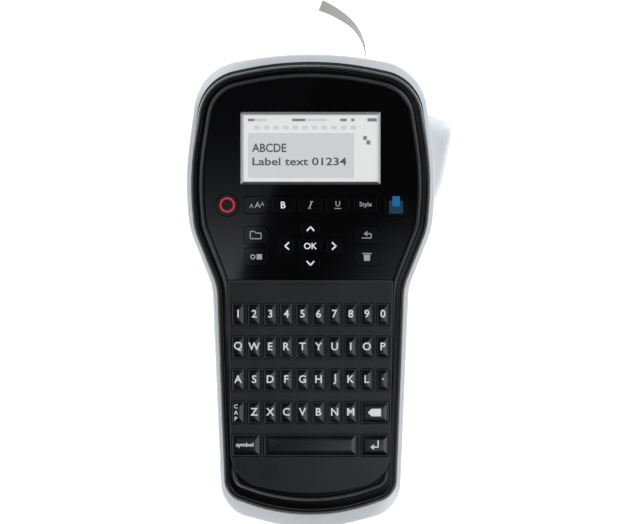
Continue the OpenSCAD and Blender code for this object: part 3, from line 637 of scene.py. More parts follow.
def save_sign(bm, x, y):
    line_print(bm, [(x - 2.4, y - 1.5), (x - 2.4, y + 1.6), (x - 0.6, y + 1.6), (x, y + 0.9),
                    (x + 2.2, y + 0.9), (x + 2.2, y - 1.5), (x - 2.4, y - 1.5)], 0.4, FLUSH_TOP)


def settings_sign(bm, x, y):
    ring_print(bm, x - 1.3, y, 1.1, 0.45, FLUSH_TOP, n=20)
    shape_print(bm, [(x + 0.3, y - 1.1), (x + 2.6, y - 1.1), (x + 2.6, y + 1.1),
                     (x + 0.3, y + 1.1)], FLUSH_TOP)


def back_sign(bm, x, y):
    line_print(bm, [(x - 2.0, y - 1.2), (x + 1.8, y - 1.2), (x + 1.8, y + 0.6),
                    (x - 0.4, y + 0.6)], 0.4, FLUSH_TOP)
    shape_print(bm, [(x - 1.4, y + 0.6), (x + 0.2, y + 1.8), (x + 0.2, y - 0.4)], FLUSH_TOP)


def clear_sign(bm, x, y):
    shape_print(bm, [(x - 1.2, y - 1.7), (x + 1.2, y - 1.7), (x + 1.4, y + 0.9),
                     (x - 1.4, y + 0.9)], FLUSH_TOP)
    line_print(bm, [(x - 1.8, y + 1.4), (x + 1.8, y + 1.4)], 0.4, FLUSH_TOP)


# Node: x, y, width, height, corner radius, sign, its inks
FLUSH_KEYS = {
    "power_key": (-35.4, FUNCTION_Y, 9.4, 9.4, 4.6, power_sign, [INK_RED]),
    "text_size_key": (-23.4, FUNCTION_Y, 9.6, 7.2, 1.2, size_sign, [INK_GREY]),
    "bold_key": (-11.6, FUNCTION_Y, 9.6, 7.2, 1.2, bold_sign, [INK_WHITE]),
    "italic_key": (0, FUNCTION_Y, 9.6, 7.2, 1.2, italic_sign, [INK_GREY]),
    "underline_key": (11.6, FUNCTION_Y, 9.6, 7.2, 1.2, underline_sign, [INK_GREY]),
    "text_style_key": (23.4, FUNCTION_Y, 9.6, 7.2, 1.2, style_sign, [INK_GREY]),
    "print_key": (36.4, FUNCTION_Y, 9.2, 9.6, 1.2, print_sign, [INK_BLUE, INK_LIGHT_BLUE]),
    "up_key": (0, NAV_Y + 7.4, 8, 5.4, 1.2, arrow(0, 1), [INK_WHITE]),
    "down_key": (0, NAV_Y - 7.4, 8, 5.4, 1.2, arrow(0, -1), [INK_WHITE]),
    "left_key": (-10.1, NAV_Y, 6, 7.4, 1.2, arrow(-1, 0), [INK_WHITE]),
    "right_key": (10.1, NAV_Y, 6, 7.4, 1.2, arrow(1, 0), [INK_WHITE]),
    "ok_key": (0, NAV_Y, 9.6, 6.4, 1.2, ok_sign, [INK_WHITE]),
    "save_key": (-23.2, NAV_Y + 4.6, 9.6, 7.4, 1.2, save_sign, [INK_GREY]),
    "settings_key": (-23.2, NAV_Y - 4.6, 9.6, 7.4, 1.2, settings_sign, [INK_GREY]),
    "back_key": (24, NAV_Y + 4.6, 9.6, 7.4, 1.2, back_sign, [INK_GREY]),
    "clear_key": (24, NAV_Y - 4.6, 9.6, 7.4, 1.2, clear_sign, [INK_GREY]),
}


def flush_keys():
    for node, (x, y, w, h, r, sign, inks) in FLUSH_KEYS.items():
        bm = bmesh.new()
        cap(bm, x, y, w, h, r, FLUSH_PROFILE)
        bmesh.ops.recalc_face_normals(bm, faces=bm.faces)
        sign(bm, x, y)
        key = placed_object(node + "_cap", bm, [FLUSH_KEY] + inks, CAP_SMOOTH)
        finish_piece(key, node, "gloss_key", node)


PITCH, ROW_PITCH, KEY_W, KEY_H = 6.84, 13.9, 5.4, 9.3
FIRST_ROW_Y = WAIST_Y - 11.7
WIDE_W, WIDE_X = 2 * PITCH - 1.5, 4 * PITCH


def key_row(row, first, letters):
    return [((first + i - 4.5) * PITCH, FIRST_ROW_Y - row * ROW_PITCH, KEY_W, KEY_H, c)
            for i, c in enumerate(letters)]


LETTER_KEYS = {
    "number_row_keys": key_row(0, 0, "1234567890"),
    "upper_row_keys": key_row(1, 0, "QWERTYUIOP"),
    "home_row_keys": key_row(2, 0, ["A", "S", "D", "F", "G", "H", "J", "K", "L", "."]),
    "lower_row_keys": key_row(3, 1, "ZXCVBNM"),
    "caps_key": key_row(3, 0, ["caps"]),
    "backspace_key": [(WIDE_X, FIRST_ROW_Y - 3 * ROW_PITCH, WIDE_W, KEY_H, "backspace")],
    "symbol_key": [(-WIDE_X, FIRST_ROW_Y - 4 * ROW_PITCH, WIDE_W, KEY_H, "symbol")],
    "space_bar": [(0, FIRST_ROW_Y - 4 * ROW_PITCH, 5.8 * PITCH, KEY_H, "")],
    "return_key": [(WIDE_X, FIRST_ROW_Y - 4 * ROW_PITCH, WIDE_W, KEY_H, "return")],
}


def legend(bm, text, x, y):
    z = LETTER_TOP
    if text == "backspace":
        shape_print(bm, [(x - 3.0, y), (x - 1.4, y + 1.6), (x + 2.6, y + 1.6),
                         (x + 2.6, y - 1.6), (x - 1.4, y - 1.6)], z)
    elif text == "return":
        line_print(bm, [(x + 1.4, y + 1.8), (x + 1.4, y - 0.8), (x - 0.6, y - 0.8)], 0.55, z)
        shape_print(bm, [(x - 1.9, y - 0.8), (x - 0.4, y + 0.4), (x - 0.4, y - 2.0)], z)
    elif text == "caps":
        for k, c in enumerate("CAP"):
            text_print(bm, c, x - 0.9, y + 2.6 - 2.6 * k, z, 1.7, 0.04)
    elif text == "symbol":
        text_print(bm, text, x - 0.6, y, z, 1.7, 0.04, 7.4)
    elif text:
        text_print(bm, text, x, y + 0.3, z, 3.3, 0.07)


def letter_keys():
    for node, keys in LETTER_KEYS.items():
        bm = bmesh.new()
        for x, y, w, h, _ in keys:
            cap(bm, x, y, w, h, 0.8, LETTER_PROFILE)
        bmesh.ops.recalc_face_normals(bm, faces=bm.faces)
        for x, y, w, h, text in keys:
            first = len(bm.verts)
            legend(bm, text, x, y)
            bm.verts.ensure_lookup_table()
            for v in bm.verts[first:]:
                v.co.z = LETTER_TOP + (0.03 if v.co.z > LETTER_TOP + 0.001 else -0.25)
        keys_made = placed_object(node + "_caps", bm, [KEYCAP, LEGEND_INK], CAP_SMOOTH)
        finish_piece(keys_made, node, "letter_key", node)


# ---- Display ----
LCD_W, LCD_H, LCD_TOP = LENS_W - 2.4, LENS_H - 2.4, -1.4


def display_window():
    """The clear window, with the printed mask round its edge on the under side, its four sides in
    greys of painted light and shade.
    """
    bm = bmesh.new()
    rings = [at_level(outline(box_corners(LENS_W - 2 * i, LENS_H - 2 * i, 0.6 - i), even=4), z)
             for i, z in ((0.0, -PLATE_T + 0.12), (0.0, -0.1), (0.05, -0.03), (0.12, 0.0))]
    loft(bm, [[(x, y + DISPLAY_Y, z) for x, y, z in ring] for ring in rings], [0, 0, 0])
    half_w, half_h, rim = LENS_W / 2, LENS_H / 2, 1.2
    # Each side of the mask from corner to corner, with the number of its grey; the four greys are
    # painted light and shade
    for ax, ay, bx, by, ink in ((-1, 1, 1, 1, 1), (1, 1, 1, -1, 2), (1, -1, -1, -1, 3),
                                (-1, -1, -1, 1, 4)):
        points = [(ax * half_w, ay * half_h), (bx * half_w, by * half_h),
                  (bx * (half_w - rim), by * (half_h - rim)),
                  (ax * (half_w - rim), ay * (half_h - rim))]
        shape_print(bm, [(x, y + DISPLAY_Y) for x, y in points], -PLATE_T + 0.06, ink)
    inks = [WINDOW, SHADED_MASK_TOP, SHADED_MASK_RIGHT, SHADED_MASK_LOW, SHADED_MASK_LEFT]
    finish_piece(new_object("display_window", bm, inks, 8), "case", "display_window",
                 "display_lens")


def lcd_screen():
    """The liquid crystal cell in the deck's opening, with what it shows as raised segments."""
    bm = bmesh.new()
    corners = [(x, y + DISPLAY_Y) for x, y in outline(box_corners(LCD_W, LCD_H, 0.3), 0)]
    loft(bm, [at_level(corners, -3.6), at_level(corners, LCD_TOP)])
    y = DISPLAY_Y
    # The grey editing field
    shape_print(bm, [(-26.6, y - 12.6), (18.5, y - 12.6), (18.5, y + 6.5), (-26.6, y + 6.5)],
                LCD_TOP, 1)
    # The bars of the top row: middle, width and layer
    for x, w, layer in ((-25.2, 2.8, 2), (-21.0, 5.0, 1), (-5.0, 5.6, 2), (2.5, 8.5, 1),
                        (14.0, 2.8, 2), (18.0, 1.4, 2)):
        shape_print(bm, [(x - w / 2, y + 11.5), (x + w / 2, y + 11.5), (x + w / 2, y + 12.6),
                         (x - w / 2, y + 12.6)], LCD_TOP, layer)
    # The row of small marks under them
    for k in range(11):
        x = -24 + 4.1 * k
        shape_print(bm, [(x, y + 8), (x + 2.4, y + 8), (x + 2.4, y + 9.6), (x, y + 9.6)],
                    LCD_TOP, 1)
    text_print(bm, "ABCDE", -17.6, y + 0.2, LCD_TOP + 0.03, 3.6, 0.1, 14.6, 3)
    text_print(bm, "Label text 01234", -4.7, y - 5.6, LCD_TOP + 0.03, 3.3, 0.08, 40.0, 3)
    # The signs beside the field: left, low, right, high
    for a, b, c, d in ((24.2, 11.4, 28.2, 12.8), (22.4, 3.6, 24.0, 5.2), (23.8, 1.6, 25.4, 3.4)):
        shape_print(bm, [(a, y + b), (c, y + b), (c, y + d), (a, y + d)], LCD_TOP, 2)
    layers = [LCD_BACK, LCD_FIELD, LCD_DARK, LCD_TEXT]
    finish_piece(new_object("lcd_screen", bm, layers, 8), "case", "lcd_glass")


# ---- Label tape ----
# Middle line of the strip: its x and level, and where it starts and begins to bend
STRIP_X, STRIP_Z = 23.6, -31.15
STRIP_START = WAIST_Y + 69.5 + 13.9 + 0.65
STRIP_BENDS = TOP_Y + 1.5
# Its two bends: radius, angle in degrees, steps
STRIP_CURLS = ((22.0, 50, 24), (45.0, 16, 10))
# Degrees it leans back at its tip, half its width and half its thickness
STRIP_LEAN, STRIP_HALF_W, STRIP_HALF_T = 21, 6, 0.12


def strip_path():
    """Points of the strip's middle line: x, y, direction, share of the curl behind them."""
    path = [(STRIP_X, STRIP_START, 0.0, 0.0), (STRIP_X, STRIP_BENDS, 0.0, 0.0)]
    (r1, bend1, steps1), (r2, bend2, steps2) = STRIP_CURLS
    centre = Vector((STRIP_X - r1, STRIP_BENDS))
    for k in range(1, steps1 + 1):
        a = math.radians(bend1 * k / steps1)
        path.append((centre.x + r1 * math.cos(a), centre.y + r1 * math.sin(a), a,
                     k / (steps1 + steps2)))
    turn = math.radians(bend1)
    centre -= (r2 - r1) * Vector((math.cos(turn), math.sin(turn)))
    for k in range(1, steps2 + 1):
        a = turn + math.radians(bend2 * k / steps2)
        path.append((centre.x + r2 * math.cos(a), centre.y + r2 * math.sin(a), a,
                     (steps1 + k) / (steps1 + steps2)))
    return path


def tape_strip():
    """The printed strip: straight through the slot, then curling over and leaning back."""
    bm = bmesh.new()
    rings = []
    for x, y, a, share in strip_path():
        lean = math.radians(STRIP_LEAN) * share ** 1.2
        out = Vector((math.cos(a), math.sin(a), 0))
        across = Vector((0, 0, 1)) * math.cos(lean) + out * math.sin(lean)
        face = out * math.cos(lean) - Vector((0, 0, 1)) * math.sin(lean)
        middle = Vector((x, y, STRIP_Z)) - out * STRIP_HALF_W * math.sin(lean)
        w, t = STRIP_HALF_W, STRIP_HALF_T
        rings.append([tuple(middle + across * u + face * v)
                      for u, v in ((-w, -t), (w, -t), (w, t), (-w, t))])
    loft(bm, rings)
    finish_piece(new_object("label_strip", bm, [TAPE], 30), "case", "label_tape", "label_tape")


# ---- Cutter lever ----
LEVER_AT = Vector((HEAD_X - 5.2, WAIST_Y + 36.5))
LEVER_LOW, LEVER_TOP = -40.0, -22.8


def rounded(points, steps=6):
    """A closed curve that rounds off the corners of a polygon, inside it."""
    curve = []
    for i, p in enumerate(points):
        b = Vector(p)
        a = (Vector(points[i - 1]) + b) / 2
        c = (Vector(points[(i + 1) % len(points)]) + b) / 2
        for k in range(steps):
            t = k / steps
            curve.append(tuple((1 - t) ** 2 * a + 2 * t * (1 - t) * b + t * t * c))
    return curve


def cutter_paddle():
    """The lever, with its long edges rounded as on a moulded paddle."""
    edge = [(-30, -8), (-30, -4), (-6, -2.5), (5, -2.5), (7.3, 0.4), (10.3, 7.2), (11.6, 13.2),
            (13.3, 21.7), (14.6, 28), (14.6, 31.8), (12, 34.6), (7.8, 36.3), (1.5, 38.3),
            (-3, 52), (-30, 55), (-30, 20)]
    base = [LEVER_AT + Vector(p) for p in rounded(edge)]
    centre = LEVER_AT + Vector((0, 18))
    rings = []
    for inset, z in ((1.9, LEVER_LOW), (1.05, LEVER_LOW + 0.3), (0.45, LEVER_LOW + 0.95),
                     (0.12, LEVER_LOW + 1.9), (0.03, LEVER_LOW + 3), (0.03, LEVER_TOP - 4.4),
                     (0.14, LEVER_TOP - 3), (0.5, LEVER_TOP - 1.6), (1.15, LEVER_TOP - 0.55),
                     (2.2, LEVER_TOP)):
        rings.append([tuple(p + (centre - p).normalized() * inset) + (z,) for p in base])
    bm = bmesh.new()
    loft(bm, rings)
    skin = new_object("paddle_skin", bm, [SILVER_PAINT])
    lever = skinned_copy("cutter_lever", "cutter_paddle", SILVER_PAINT, skin, 30)
    return finish_piece(lever, "lever", "silver_abs", "cutter_lever")


# Display window: clear acrylic, seen through, with a thin gloss on top
def clear_window(name):
    material, tree = blank(name)
    through = add(tree, "ShaderNodeBsdfTransparent")
    gloss = add(tree, "ShaderNodeBsdfGlossy", Roughness=0.03)
    share = add(tree, "ShaderNodeFresnel", IOR=1.49)
    # Only the outer faces shine: seen from inside, the film would turn into a mirror
    behind = add(tree, "ShaderNodeNewGeometry").outputs["Backfacing"]
    outside = add(tree, "ShaderNodeMath", {"operation": "SUBTRACT"}, _0=1.0, _1=behind)
    gloss_share = add(tree, "ShaderNodeMath", {"operation": "MULTIPLY"},
                      _0=share.outputs["Fac"], _1=outside.outputs[0])
    both = add(tree, "ShaderNodeMixShader", _0=gloss_share.outputs[0],
               _1=through.outputs["BSDF"], _2=gloss.outputs["BSDF"])
    surface(tree, both.outputs["Shader"])
    return material


WINDOW = clear_window("clear_acrylic_window")
# The mask's four sides, each in the grey that it shows from the front: painted light on the left
# and right sides, painted shade on the top and low sides
SHADED_MASK_TOP = plain("mask_painted_shade_top", "#85888a", 0.4)
SHADED_MASK_RIGHT = plain("mask_painted_light_right", "#c9cbcc", 0.4)
SHADED_MASK_LOW = plain("mask_painted_shade_low", "#3a3b3d", 0.4)
SHADED_MASK_LEFT = plain("mask_painted_light_left", "#b4b6b8", 0.4)
# Inside the case. Dark ABS: dull grey mouldings
DARK_ABS = plastic("dark_structural_abs", "#26292c", "#2d3033", 0.45, 0.3, 0.1)
# Silicone: a soft dark sheet with hardly any gloss
SILICONE = plastic("moulded_silicone", "#3c3f44", "#44474c", 0.6, 0.4, 0.08)
# Solder resist: green lacquer with a soft gloss
BOARD = plastic("green_solder_resist", "#12462a", "#1a5a37", 0.35, 0.5, 0.05)
# Zinc plate is pale and even, ground steel brighter, drawn steel a little darker
STEEL = metal("zinc_plated_steel", "#8f9295", "#a2a5a8", 0.32, 0.4)
BRIGHT_STEEL = metal("ground_steel", "#a5a8ab", "#b6b9bc", 0.2, 0.15)
CAN_STEEL = metal("drawn_steel_can", "#85888b", "#989b9e", 0.28, 0.6)
# Brass, cut on a hob: warm yellow, finely marked
BRASS = metal("hobbed_brass", "#a8853f", "#bd9a52", 0.3, 0.3)
# Acetal gears are milky white, ground rubber black and matt, the ceramic head tan and glossy
ACETAL = plastic("moulded_acetal", "#d6d3c8", "#e0ddd3", 0.4, 0.3, 0.06)
RUBBER = plastic("ground_rubber", "#151516", "#1c1c1d", 0.7, 0.2, 0.2)
CERAMIC = plastic("glazed_ceramic", "#8a744f", "#9a8460", 0.22, 0.4, 0.03)
# The cassette: light grey ABS. The battery pack: blue shrink wrap, glossy
CASSETTE_ABS = plastic("cassette_abs", "#a9adb0", "#b6babd", 0.4, 0.3, 0.08)
WRAP = plastic("shrink_wrap", "#1d3557", "#24406a", 0.25, 1.2, 0.06)
# Ribbon film is black and shiny, the blade ground bright, the spring drawn wire
RIBBON = plastic("ink_ribbon_film", "#101012", "#17171a", 0.25, 0.3, 0.05)
BLADE = metal("hardened_blade_steel", "#9da0a3", "#b1b4b7", 0.16, 0.1)
SPRING = metal("spring_wire", "#77797c", "#8b8d90", 0.3, 0.2)

FINISHES = {
    "faceplate": PANEL, "lcd_module": LCD_FRAME,
    "keypad_membrane": SILICONE, "main_board": BOARD, "small_screws": STEEL,
    "port_sockets": STEEL, "cassette_door": SILVER_PAINT,
    "door_hinge_pin": BRIGHT_STEEL, "battery_cover": SILVER_PAINT, "battery_tray": DARK_ABS,
    "battery_pack": WRAP, "battery_contacts": BRASS, "chassis": DARK_ABS, "motor": CAN_STEEL,
    "motor_pinion": BRASS, "reduction_gear": ACETAL, "platen_roller": RUBBER,
    "take_up_gear": ACETAL, "print_head": CERAMIC, "cassette_case": CASSETTE_ABS,
    "tape_roll": TAPE, "ribbon_roll": RIBBON, "ribbon_take_up": RIBBON, "inner_tape": TAPE,
    "cutter_pin": BRIGHT_STEEL, "cutter_spring": SPRING, "blade_carriage": DARK_ABS,
    "cutter_blade": BLADE,
}


def finish_nodes():
    for node, material in FINISHES.items():
        for slot in frame["nodes"][node].material_slots:
            slot.material = material


# ---- Screws and ribs: Geometry Nodes ----
def start_tree(name, sizes):
    """A Geometry Nodes tree with a float input for each named size."""
    tree = bpy.data.node_groups.new(name, "GeometryNodeTree")
    tree.interface.new_socket("Geometry", in_out="INPUT", socket_type="NodeSocketGeometry")
    tree.interface.new_socket("Geometry", in_out="OUTPUT", socket_type="NodeSocketGeometry")
    for size in sizes:
        tree.interface.new_socket(size, in_out="INPUT", socket_type="NodeSocketFloat")
    return tree, add(tree, "NodeGroupInput").outputs


def end_tree(tree, geometry, material):
    """Ends the tree in plain meshes of one material."""
    real = add(tree, "GeometryNodeRealizeInstances", Geometry=geometry)
    coated = add(tree, "GeometryNodeSetMaterial", Geometry=real.outputs[0], Material=material)
    tree.links.new(coated.outputs[0], add(tree, "NodeGroupOutput").inputs[0])


def grow(name, tree, points, sizes, **marks):
    """Runs the tree on points in the row frame. marks gives a value for each point by name."""
    mesh = bpy.data.meshes.new(name)
    mesh.from_pydata(points, [], [])
    for mark, values in marks.items():
        mesh.attributes.new(mark, "FLOAT", "POINT").data.foreach_set("value", values)
    obj = bpy.data.objects.new(name, mesh)
    bpy.context.scene.collection.objects.link(obj)
    mod = obj.modifiers.new(name, "NODES")
    mod.node_group = tree
    for item in tree.interface.items_tree:
        if item.in_out == "INPUT" and item.name in sizes:
            mod[item.identifier] = sizes[item.name]
    return cleaned(evaluated(obj))


def at_height(tree, shape, z, rotation=(0, 0, 0)):
    """Moves a shape of the tree to a height, which may be another node's output."""
    place = add(tree, "ShaderNodeCombineXYZ", Z=z)
    return add(tree, "GeometryNodeTransform", Geometry=shape, Translation=place.outputs[0],
               Rotation=rotation).outputs[0]


def product(tree, a, b):
    return add(tree, "ShaderNodeMath", {"operation": "MULTIPLY"}, _0=a, _1=b).outputs[0]


def screw_tree():
    """Pan-head screws with a cross recess, on points at the middle of their heads' faces."""
    tree, size = start_tree("cross_recess_screws", SCREW_SIZES)
    body = add(tree, "GeometryNodeMeshCylinder", Vertices=32, Radius=size["Head Radius"],
               Depth=size["Head Height"]).outputs["Mesh"]
    body = at_height(tree, body, product(tree, size["Head Height"], 0.75))
    face = add(tree, "GeometryNodeMeshCone", Vertices=32, Radius_Top=size["Head Radius"],
               Radius_Bottom=product(tree, size["Head Radius"], 0.78),
               Depth=product(tree, size["Head Height"], 0.3)).outputs["Mesh"]
    head = add(tree, "GeometryNodeMeshBoolean", {"operation": "UNION", "solver": "EXACT"},
               Mesh_2=body)
    tree.links.new(face, head.inputs["Mesh 2"])
    cut = add(tree, "GeometryNodeMeshBoolean", {"operation": "DIFFERENCE", "solver": "EXACT"},
              Mesh_1=head.outputs["Mesh"])
    slot = add(tree, "ShaderNodeCombineXYZ", X=product(tree, size["Head Radius"], 1.35),
               Y=product(tree, size["Head Radius"], 0.32),
               Z=product(tree, size["Head Height"], 1.3)).outputs[0]
    for turn in (0.0, math.pi / 2):
        bar = add(tree, "GeometryNodeMeshCube", Size=slot).outputs["Mesh"]
        tree.links.new(at_height(tree, bar, 0.0, (0, 0, turn)), cut.inputs["Mesh 2"])
    heads = add(tree, "GeometryNodeInstanceOnPoints", Points=size["Geometry"],
                Instance=cut.outputs["Mesh"], Rotation=(TILT, 0, 0))
    rod = add(tree, "GeometryNodeMeshCylinder", Vertices=20, Radius=size["Shank Radius"],
              Depth=1.0).outputs["Mesh"]
    length = add(tree, "GeometryNodeInputNamedAttribute", {"data_type": "FLOAT"}, Name="length")
    stretch = add(tree, "ShaderNodeCombineXYZ", X=1.0, Y=1.0,
                  Z=length.outputs["Attribute"]).outputs[0]
    shanks = add(tree, "GeometryNodeInstanceOnPoints", Points=size["Geometry"],
                 Instance=at_height(tree, rod, 0.5), Rotation=(TILT, 0, 0), Scale=stretch)
    # The shanks start inside the heads, behind the recess
    behind = add(tree, "ShaderNodeCombineXYZ", Z=product(tree, size["Head Height"], 0.9))
    shanks = add(tree, "GeometryNodeTranslateInstances", Instances=shanks.outputs[0],
                 Translation=behind.outputs[0])
    both = add(tree, "GeometryNodeJoinGeometry", Geometry=heads.outputs[0])
    tree.links.new(shanks.outputs[0], both.inputs[0])
    end_tree(tree, both.outputs[0], STEEL)
    return tree


SCREW_HEAD = 1.8
SCREW_SIZES = {"Head Radius": 2.2 * MM, "Head Height": SCREW_HEAD * MM,
               "Shank Radius": 1.2 * MM}
SCREW_SEAT, SCREW_END = 6.0, -FRONT_DEPTH + 10
SCREWS = [(24, 15.5), (-24, 15.5), (42.5, WAIST_Y + 19.5), (-42.5, WAIST_Y + 19.5),
          (-41.5, WAIST_Y + 74.5), (0, WAIST_Y + 89)]


def case_screws():
    """The six long screws that hold the two shells together, sunk in the back."""
    faces = [rest_z(y) + SCREW_SEAT - SCREW_HEAD for _, y in SCREWS]
    obj = grow("case_screws", screw_tree(),
               [row_point(x, y, z) for (x, y), z in zip(SCREWS, faces)], SCREW_SIZES,
               length=[(SCREW_END - z - 0.9 * SCREW_HEAD) * MM for z in faces])
    shade(obj, 30)
    finish_piece(obj, "case", "screw_steel", "housing_screws")


RIB_SIZES = {"Rib Width": 20 * MM, "Rib Radius": 0.75 * MM}
RIB_PITCH, RIB_COUNT, RIB_SHIFT = 2.6, 5, -13.0


def rib_tree():
    """Straight ribs with round ends, each on a point and turned across the pull."""
    tree, size = start_tree("thumb_ribs", RIB_SIZES)
    bar = add(tree, "GeometryNodeMeshCylinder", Vertices=16, Radius=size["Rib Radius"],
              Depth=size["Rib Width"]).outputs["Mesh"]
    bar = at_height(tree, bar, 0.0, (0, math.pi / 2, 0))
    ball = add(tree, "GeometryNodeMeshUVSphere", Segments=16, Rings=8,
               Radius=size["Rib Radius"]).outputs["Mesh"]
    rib = add(tree, "GeometryNodeMeshBoolean", {"operation": "UNION", "solver": "EXACT"},
              Mesh_2=bar)
    for side in (-0.5, 0.5):
        end = add(tree, "ShaderNodeCombineXYZ", X=product(tree, size["Rib Width"], side))
        tip = add(tree, "GeometryNodeTransform", Geometry=ball, Translation=end.outputs[0])
        tree.links.new(tip.outputs[0], rib.inputs["Mesh 2"])
    ribs = add(tree, "GeometryNodeInstanceOnPoints", Points=size["Geometry"],
               Instance=rib.outputs["Mesh"])
    end_tree(tree, ribs.outputs[0], SILVER_PAINT)
    return tree


def thumb_ribs():
    """The ribs a thumb pushes on the battery cover, two thirds sunk in the hollow's face."""
    middle, z, radius = hollow_arc()
    points = []
    for k in range(RIB_COUNT):
        along = (RIB_SHIFT + RIB_PITCH * (k - (RIB_COUNT - 1) / 2)) * MM
        points.append((0, middle + along, z + math.sqrt(radius ** 2 - along ** 2) + 0.25 * MM))
    obj = grow("thumb_ribs", rib_tree(), points, RIB_SIZES)
    shade(obj, 35)
    finish_piece(obj, "cover", "silver_abs")


# ---- Studio ----
# The point of the front face in the middle of the view, and in metres the camera's distance
# from it and the width it sees there
LOOK_AT, DISTANCE, VIEW_W = (4.675, 113.05, 0.0), 2.6, 0.2733
FACE_UP = (TURN @ Vector((0, 0, 1))).normalized()
HEAD_WAY = (TURN @ Vector((0, 1, 0))).normalized()
SIDE_WAY = Vector((1, 0, 0))


def face_matrix(place, backwards, up):
    """Rotation and place of an object whose local Z points backwards and local Y up."""
    z = backwards.normalized()
    x = up.cross(z).normalized()
    y = z.cross(x)
    m = Matrix((x, y, z)).transposed().to_4x4()
    m.translation = place
    return m


def camera():
    data = bpy.data.cameras.new("studio_camera")
    data.sensor_width, data.lens = 36, 36 * DISTANCE / VIEW_W
    data.clip_start, data.clip_end = 0.05, 20
    obj = bpy.data.objects.new("studio_camera", data)
    bpy.context.scene.collection.objects.link(obj)
    place = row_point(*LOOK_AT) + FACE_UP * DISTANCE
    obj.matrix_world = face_matrix(place, FACE_UP, HEAD_WAY)
    bpy.context.scene.camera = obj


# Where the soft boxes point, on the axis of the case
LIT_POINT = (0, 100, -10)


def area_light(name, offset, size, watts):
    """A soft box, offset in metres from LIT_POINT as (right, up the face, out of the face)."""
    data = bpy.data.lights.new(name, "AREA")
    data.shape, data.size, data.size_y, data.energy = "RECTANGLE", size[0], size[1], watts
    obj = bpy.data.objects.new(name, data)
    bpy.context.scene.collection.objects.link(obj)
    way = SIDE_WAY * offset[0] + HEAD_WAY * offset[1] + FACE_UP * offset[2]
    obj.matrix_world = face_matrix(row_point(*LIT_POINT) + way, way, HEAD_WAY)


def light_path_mix(tree, lit, white):
    """White where the camera, a gloss or a transmission sees it, lit where light falls."""
    path = add(tree, "ShaderNodeLightPath").outputs
    seen = add(tree, "ShaderNodeMath", {"operation": "MAXIMUM"}, _0=path["Is Camera Ray"],
               _1=path["Is Transmission Ray"])
    seen = add(tree, "ShaderNodeMath", {"operation": "MAXIMUM"}, _0=seen.outputs[0],
               _1=path["Is Glossy Ray"])
    return add(tree, "ShaderNodeMixShader", _0=seen.outputs[0], _1=lit, _2=white)


def world():
    w = bpy.data.worlds.new("studio")
    bpy.context.scene.world = w
    w.use_nodes = True
    tree = w.node_tree
    tree.nodes.clear()
    lit = add(tree, "ShaderNodeBackground", Color=linear("#eceef0"), Strength=0.7)
    white = add(tree, "ShaderNodeBackground", Color=(1, 1, 1, 1), Strength=1.0)
    mix = light_path_mix(tree, lit.outputs[0], white.outputs[0])
    tree.links.new(mix.outputs[0], add(tree, "ShaderNodeOutputWorld").inputs["Surface"])


# How far over the front face the card hangs
CARD_HEIGHT = 600.0
# How far the card reaches, as it shows on the front face: left, right, low, high
CARD_REACH = (-400.0, 420.0, -1000.0, 640.0)
CARD_ROWS, CARD_COLUMNS = 200, 50


def gleam_edge(y):
    """Where the card's bright part ends, as it shows on the faceplate at y."""
    return -29.5 + 0.4 * (y - 109.9)


def ramp(value, start, end):
    """0 at start, 1 at end."""
    return min(1.0, max(0.0, (value - start) / (end - start)))


def gleam(x, y, bright):
    """Light of the card as it shows on the front face at x, y. The bright part fades from the
    faceplate's lower left upwards. The rest is dark, but for a spot on the faceplate's lower
    right and fades over the right-hand letter keys and to the right of the case."""
    if bright:
        return 0.02 + 1.8 * ramp(y, 188, 100) ** 2.8 * (x > -75) * ramp(y, -60, 20)
    low_right = max(0.0, 1 - math.hypot((x - 44) / 34, (y - 104) / 34))
    beside_keys = 2.5 * ramp(x, -8, 110) * ramp(y, -120, 10) * ramp(y, 102, 94)
    above = 1.2 * ramp(x, 95, 175) * ramp(y, 94, 110) * ramp(y, 330, 270)
    return 0.7 * low_right ** 1.3 * (y > 103) + (beside_keys + above) * ramp(x, 330, 270)


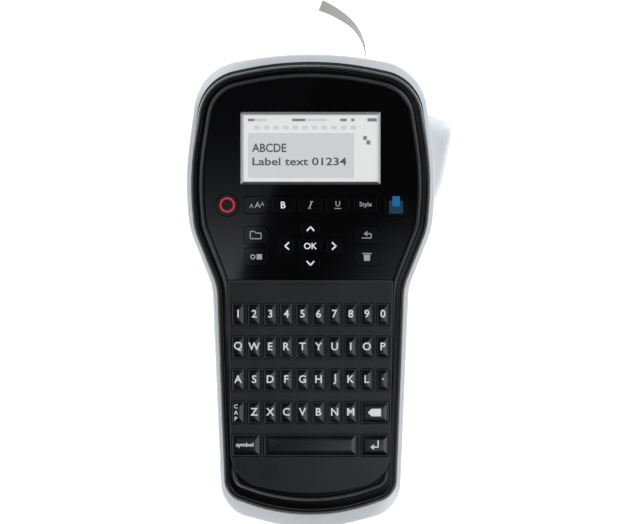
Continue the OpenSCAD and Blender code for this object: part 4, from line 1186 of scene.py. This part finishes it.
def reflection_card():
    """A dark card with graded bright parts, hung over the front. Only gloss shows it. It is laid
    out from the camera's place, so its gleams sit where gleam() puts them in the camera's view
    only and slide in every other. It also hides the white surroundings from the gloss."""
    share = CARD_HEIGHT / (DISTANCE / MM)
    bm = bmesh.new()
    glow = bm.verts.layers.float.new("glow")
    left, right, low_end, high_end = CARD_REACH
    rows = [low_end + (high_end - low_end) * k / CARD_ROWS for k in range(CARD_ROWS + 1)]
    for bright in (True, False):
        grid = []
        for y in rows:
            edge = gleam_edge(y)
            start, end = (left, edge) if bright else (edge, right)
            line = []
            for k in range(CARD_COLUMNS + 1):
                x = start + (end - start) * k / CARD_COLUMNS
                v = bm.verts.new((x + (x - LOOK_AT[0]) * share,
                                  y + (y - LOOK_AT[1]) * share, CARD_HEIGHT))
                v[glow] = gleam(x, y, bright)
                line.append(v)
            grid.append(line)
        for low, high in zip(grid, grid[1:]):
            for k in range(len(low) - 1):
                bm.faces.new((low[k], high[k], high[k + 1], low[k + 1]))
    material, tree = blank("graded_card")
    level = add(tree, "ShaderNodeAttribute", {"attribute_name": "glow"})
    light = add(tree, "ShaderNodeEmission", Color=linear("#e4ecf4"),
                Strength=level.outputs["Fac"])
    surface(tree, light.outputs["Emission"])
    card = new_object("reflection_card", bm, [material])
    card.visible_camera = card.visible_diffuse = card.visible_shadow = False
    card.visible_transmission = card.visible_volume_scatter = False


# Half the sheet's side in metres, and how far under the part it lies in millimetres
SHEET_HALF, SHEET_GAP = 3.0, 0.1


def floor():
    """A pale sheet under the part. It looks white and still takes a soft shadow."""
    material, tree = blank("pale_studio_sheet")
    matt = add(tree, "ShaderNodeBsdfDiffuse", Color=linear("#f4f4f4"))
    white = add(tree, "ShaderNodeEmission", Color=(1, 1, 1, 1), Strength=0.62)
    both = add(tree, "ShaderNodeAddShader", _0=matt.outputs[0], _1=white.outputs[0])
    mix = light_path_mix(tree, matt.outputs[0], both.outputs[0])
    surface(tree, mix.outputs[0])
    mesh = bpy.data.meshes.new("studio_sheet")
    half, z = SHEET_HALF, CAD_BOX[0][2] - SHEET_GAP * MM
    mesh.from_pydata([(-half, -half, z), (half, -half, z), (half, half, z), (-half, half, z)],
                     [], [(0, 1, 2, 3)])
    mesh.materials.append(material)
    obj = bpy.data.objects.new("studio_sheet", mesh)
    bpy.context.scene.collection.objects.link(obj)


front_shell()
head_joint_and_shade()
back_shell()
keypad_surround()
flush_keys()
letter_keys()
display_window()
lcd_screen()
tape_strip()
cutter_paddle()
case_screws()
thumb_ribs()
finish_nodes()
camera()
world()
floor()
reflection_card()
area_light("key_softbox", (0.9, 1.1, 1.3), (0.9, 0.9), 17)
area_light("fill_softbox", (-1.1, -0.8, 1.3), (1.0, 1.0), 15)

bpy.context.scene.view_settings.view_transform = "Standard"
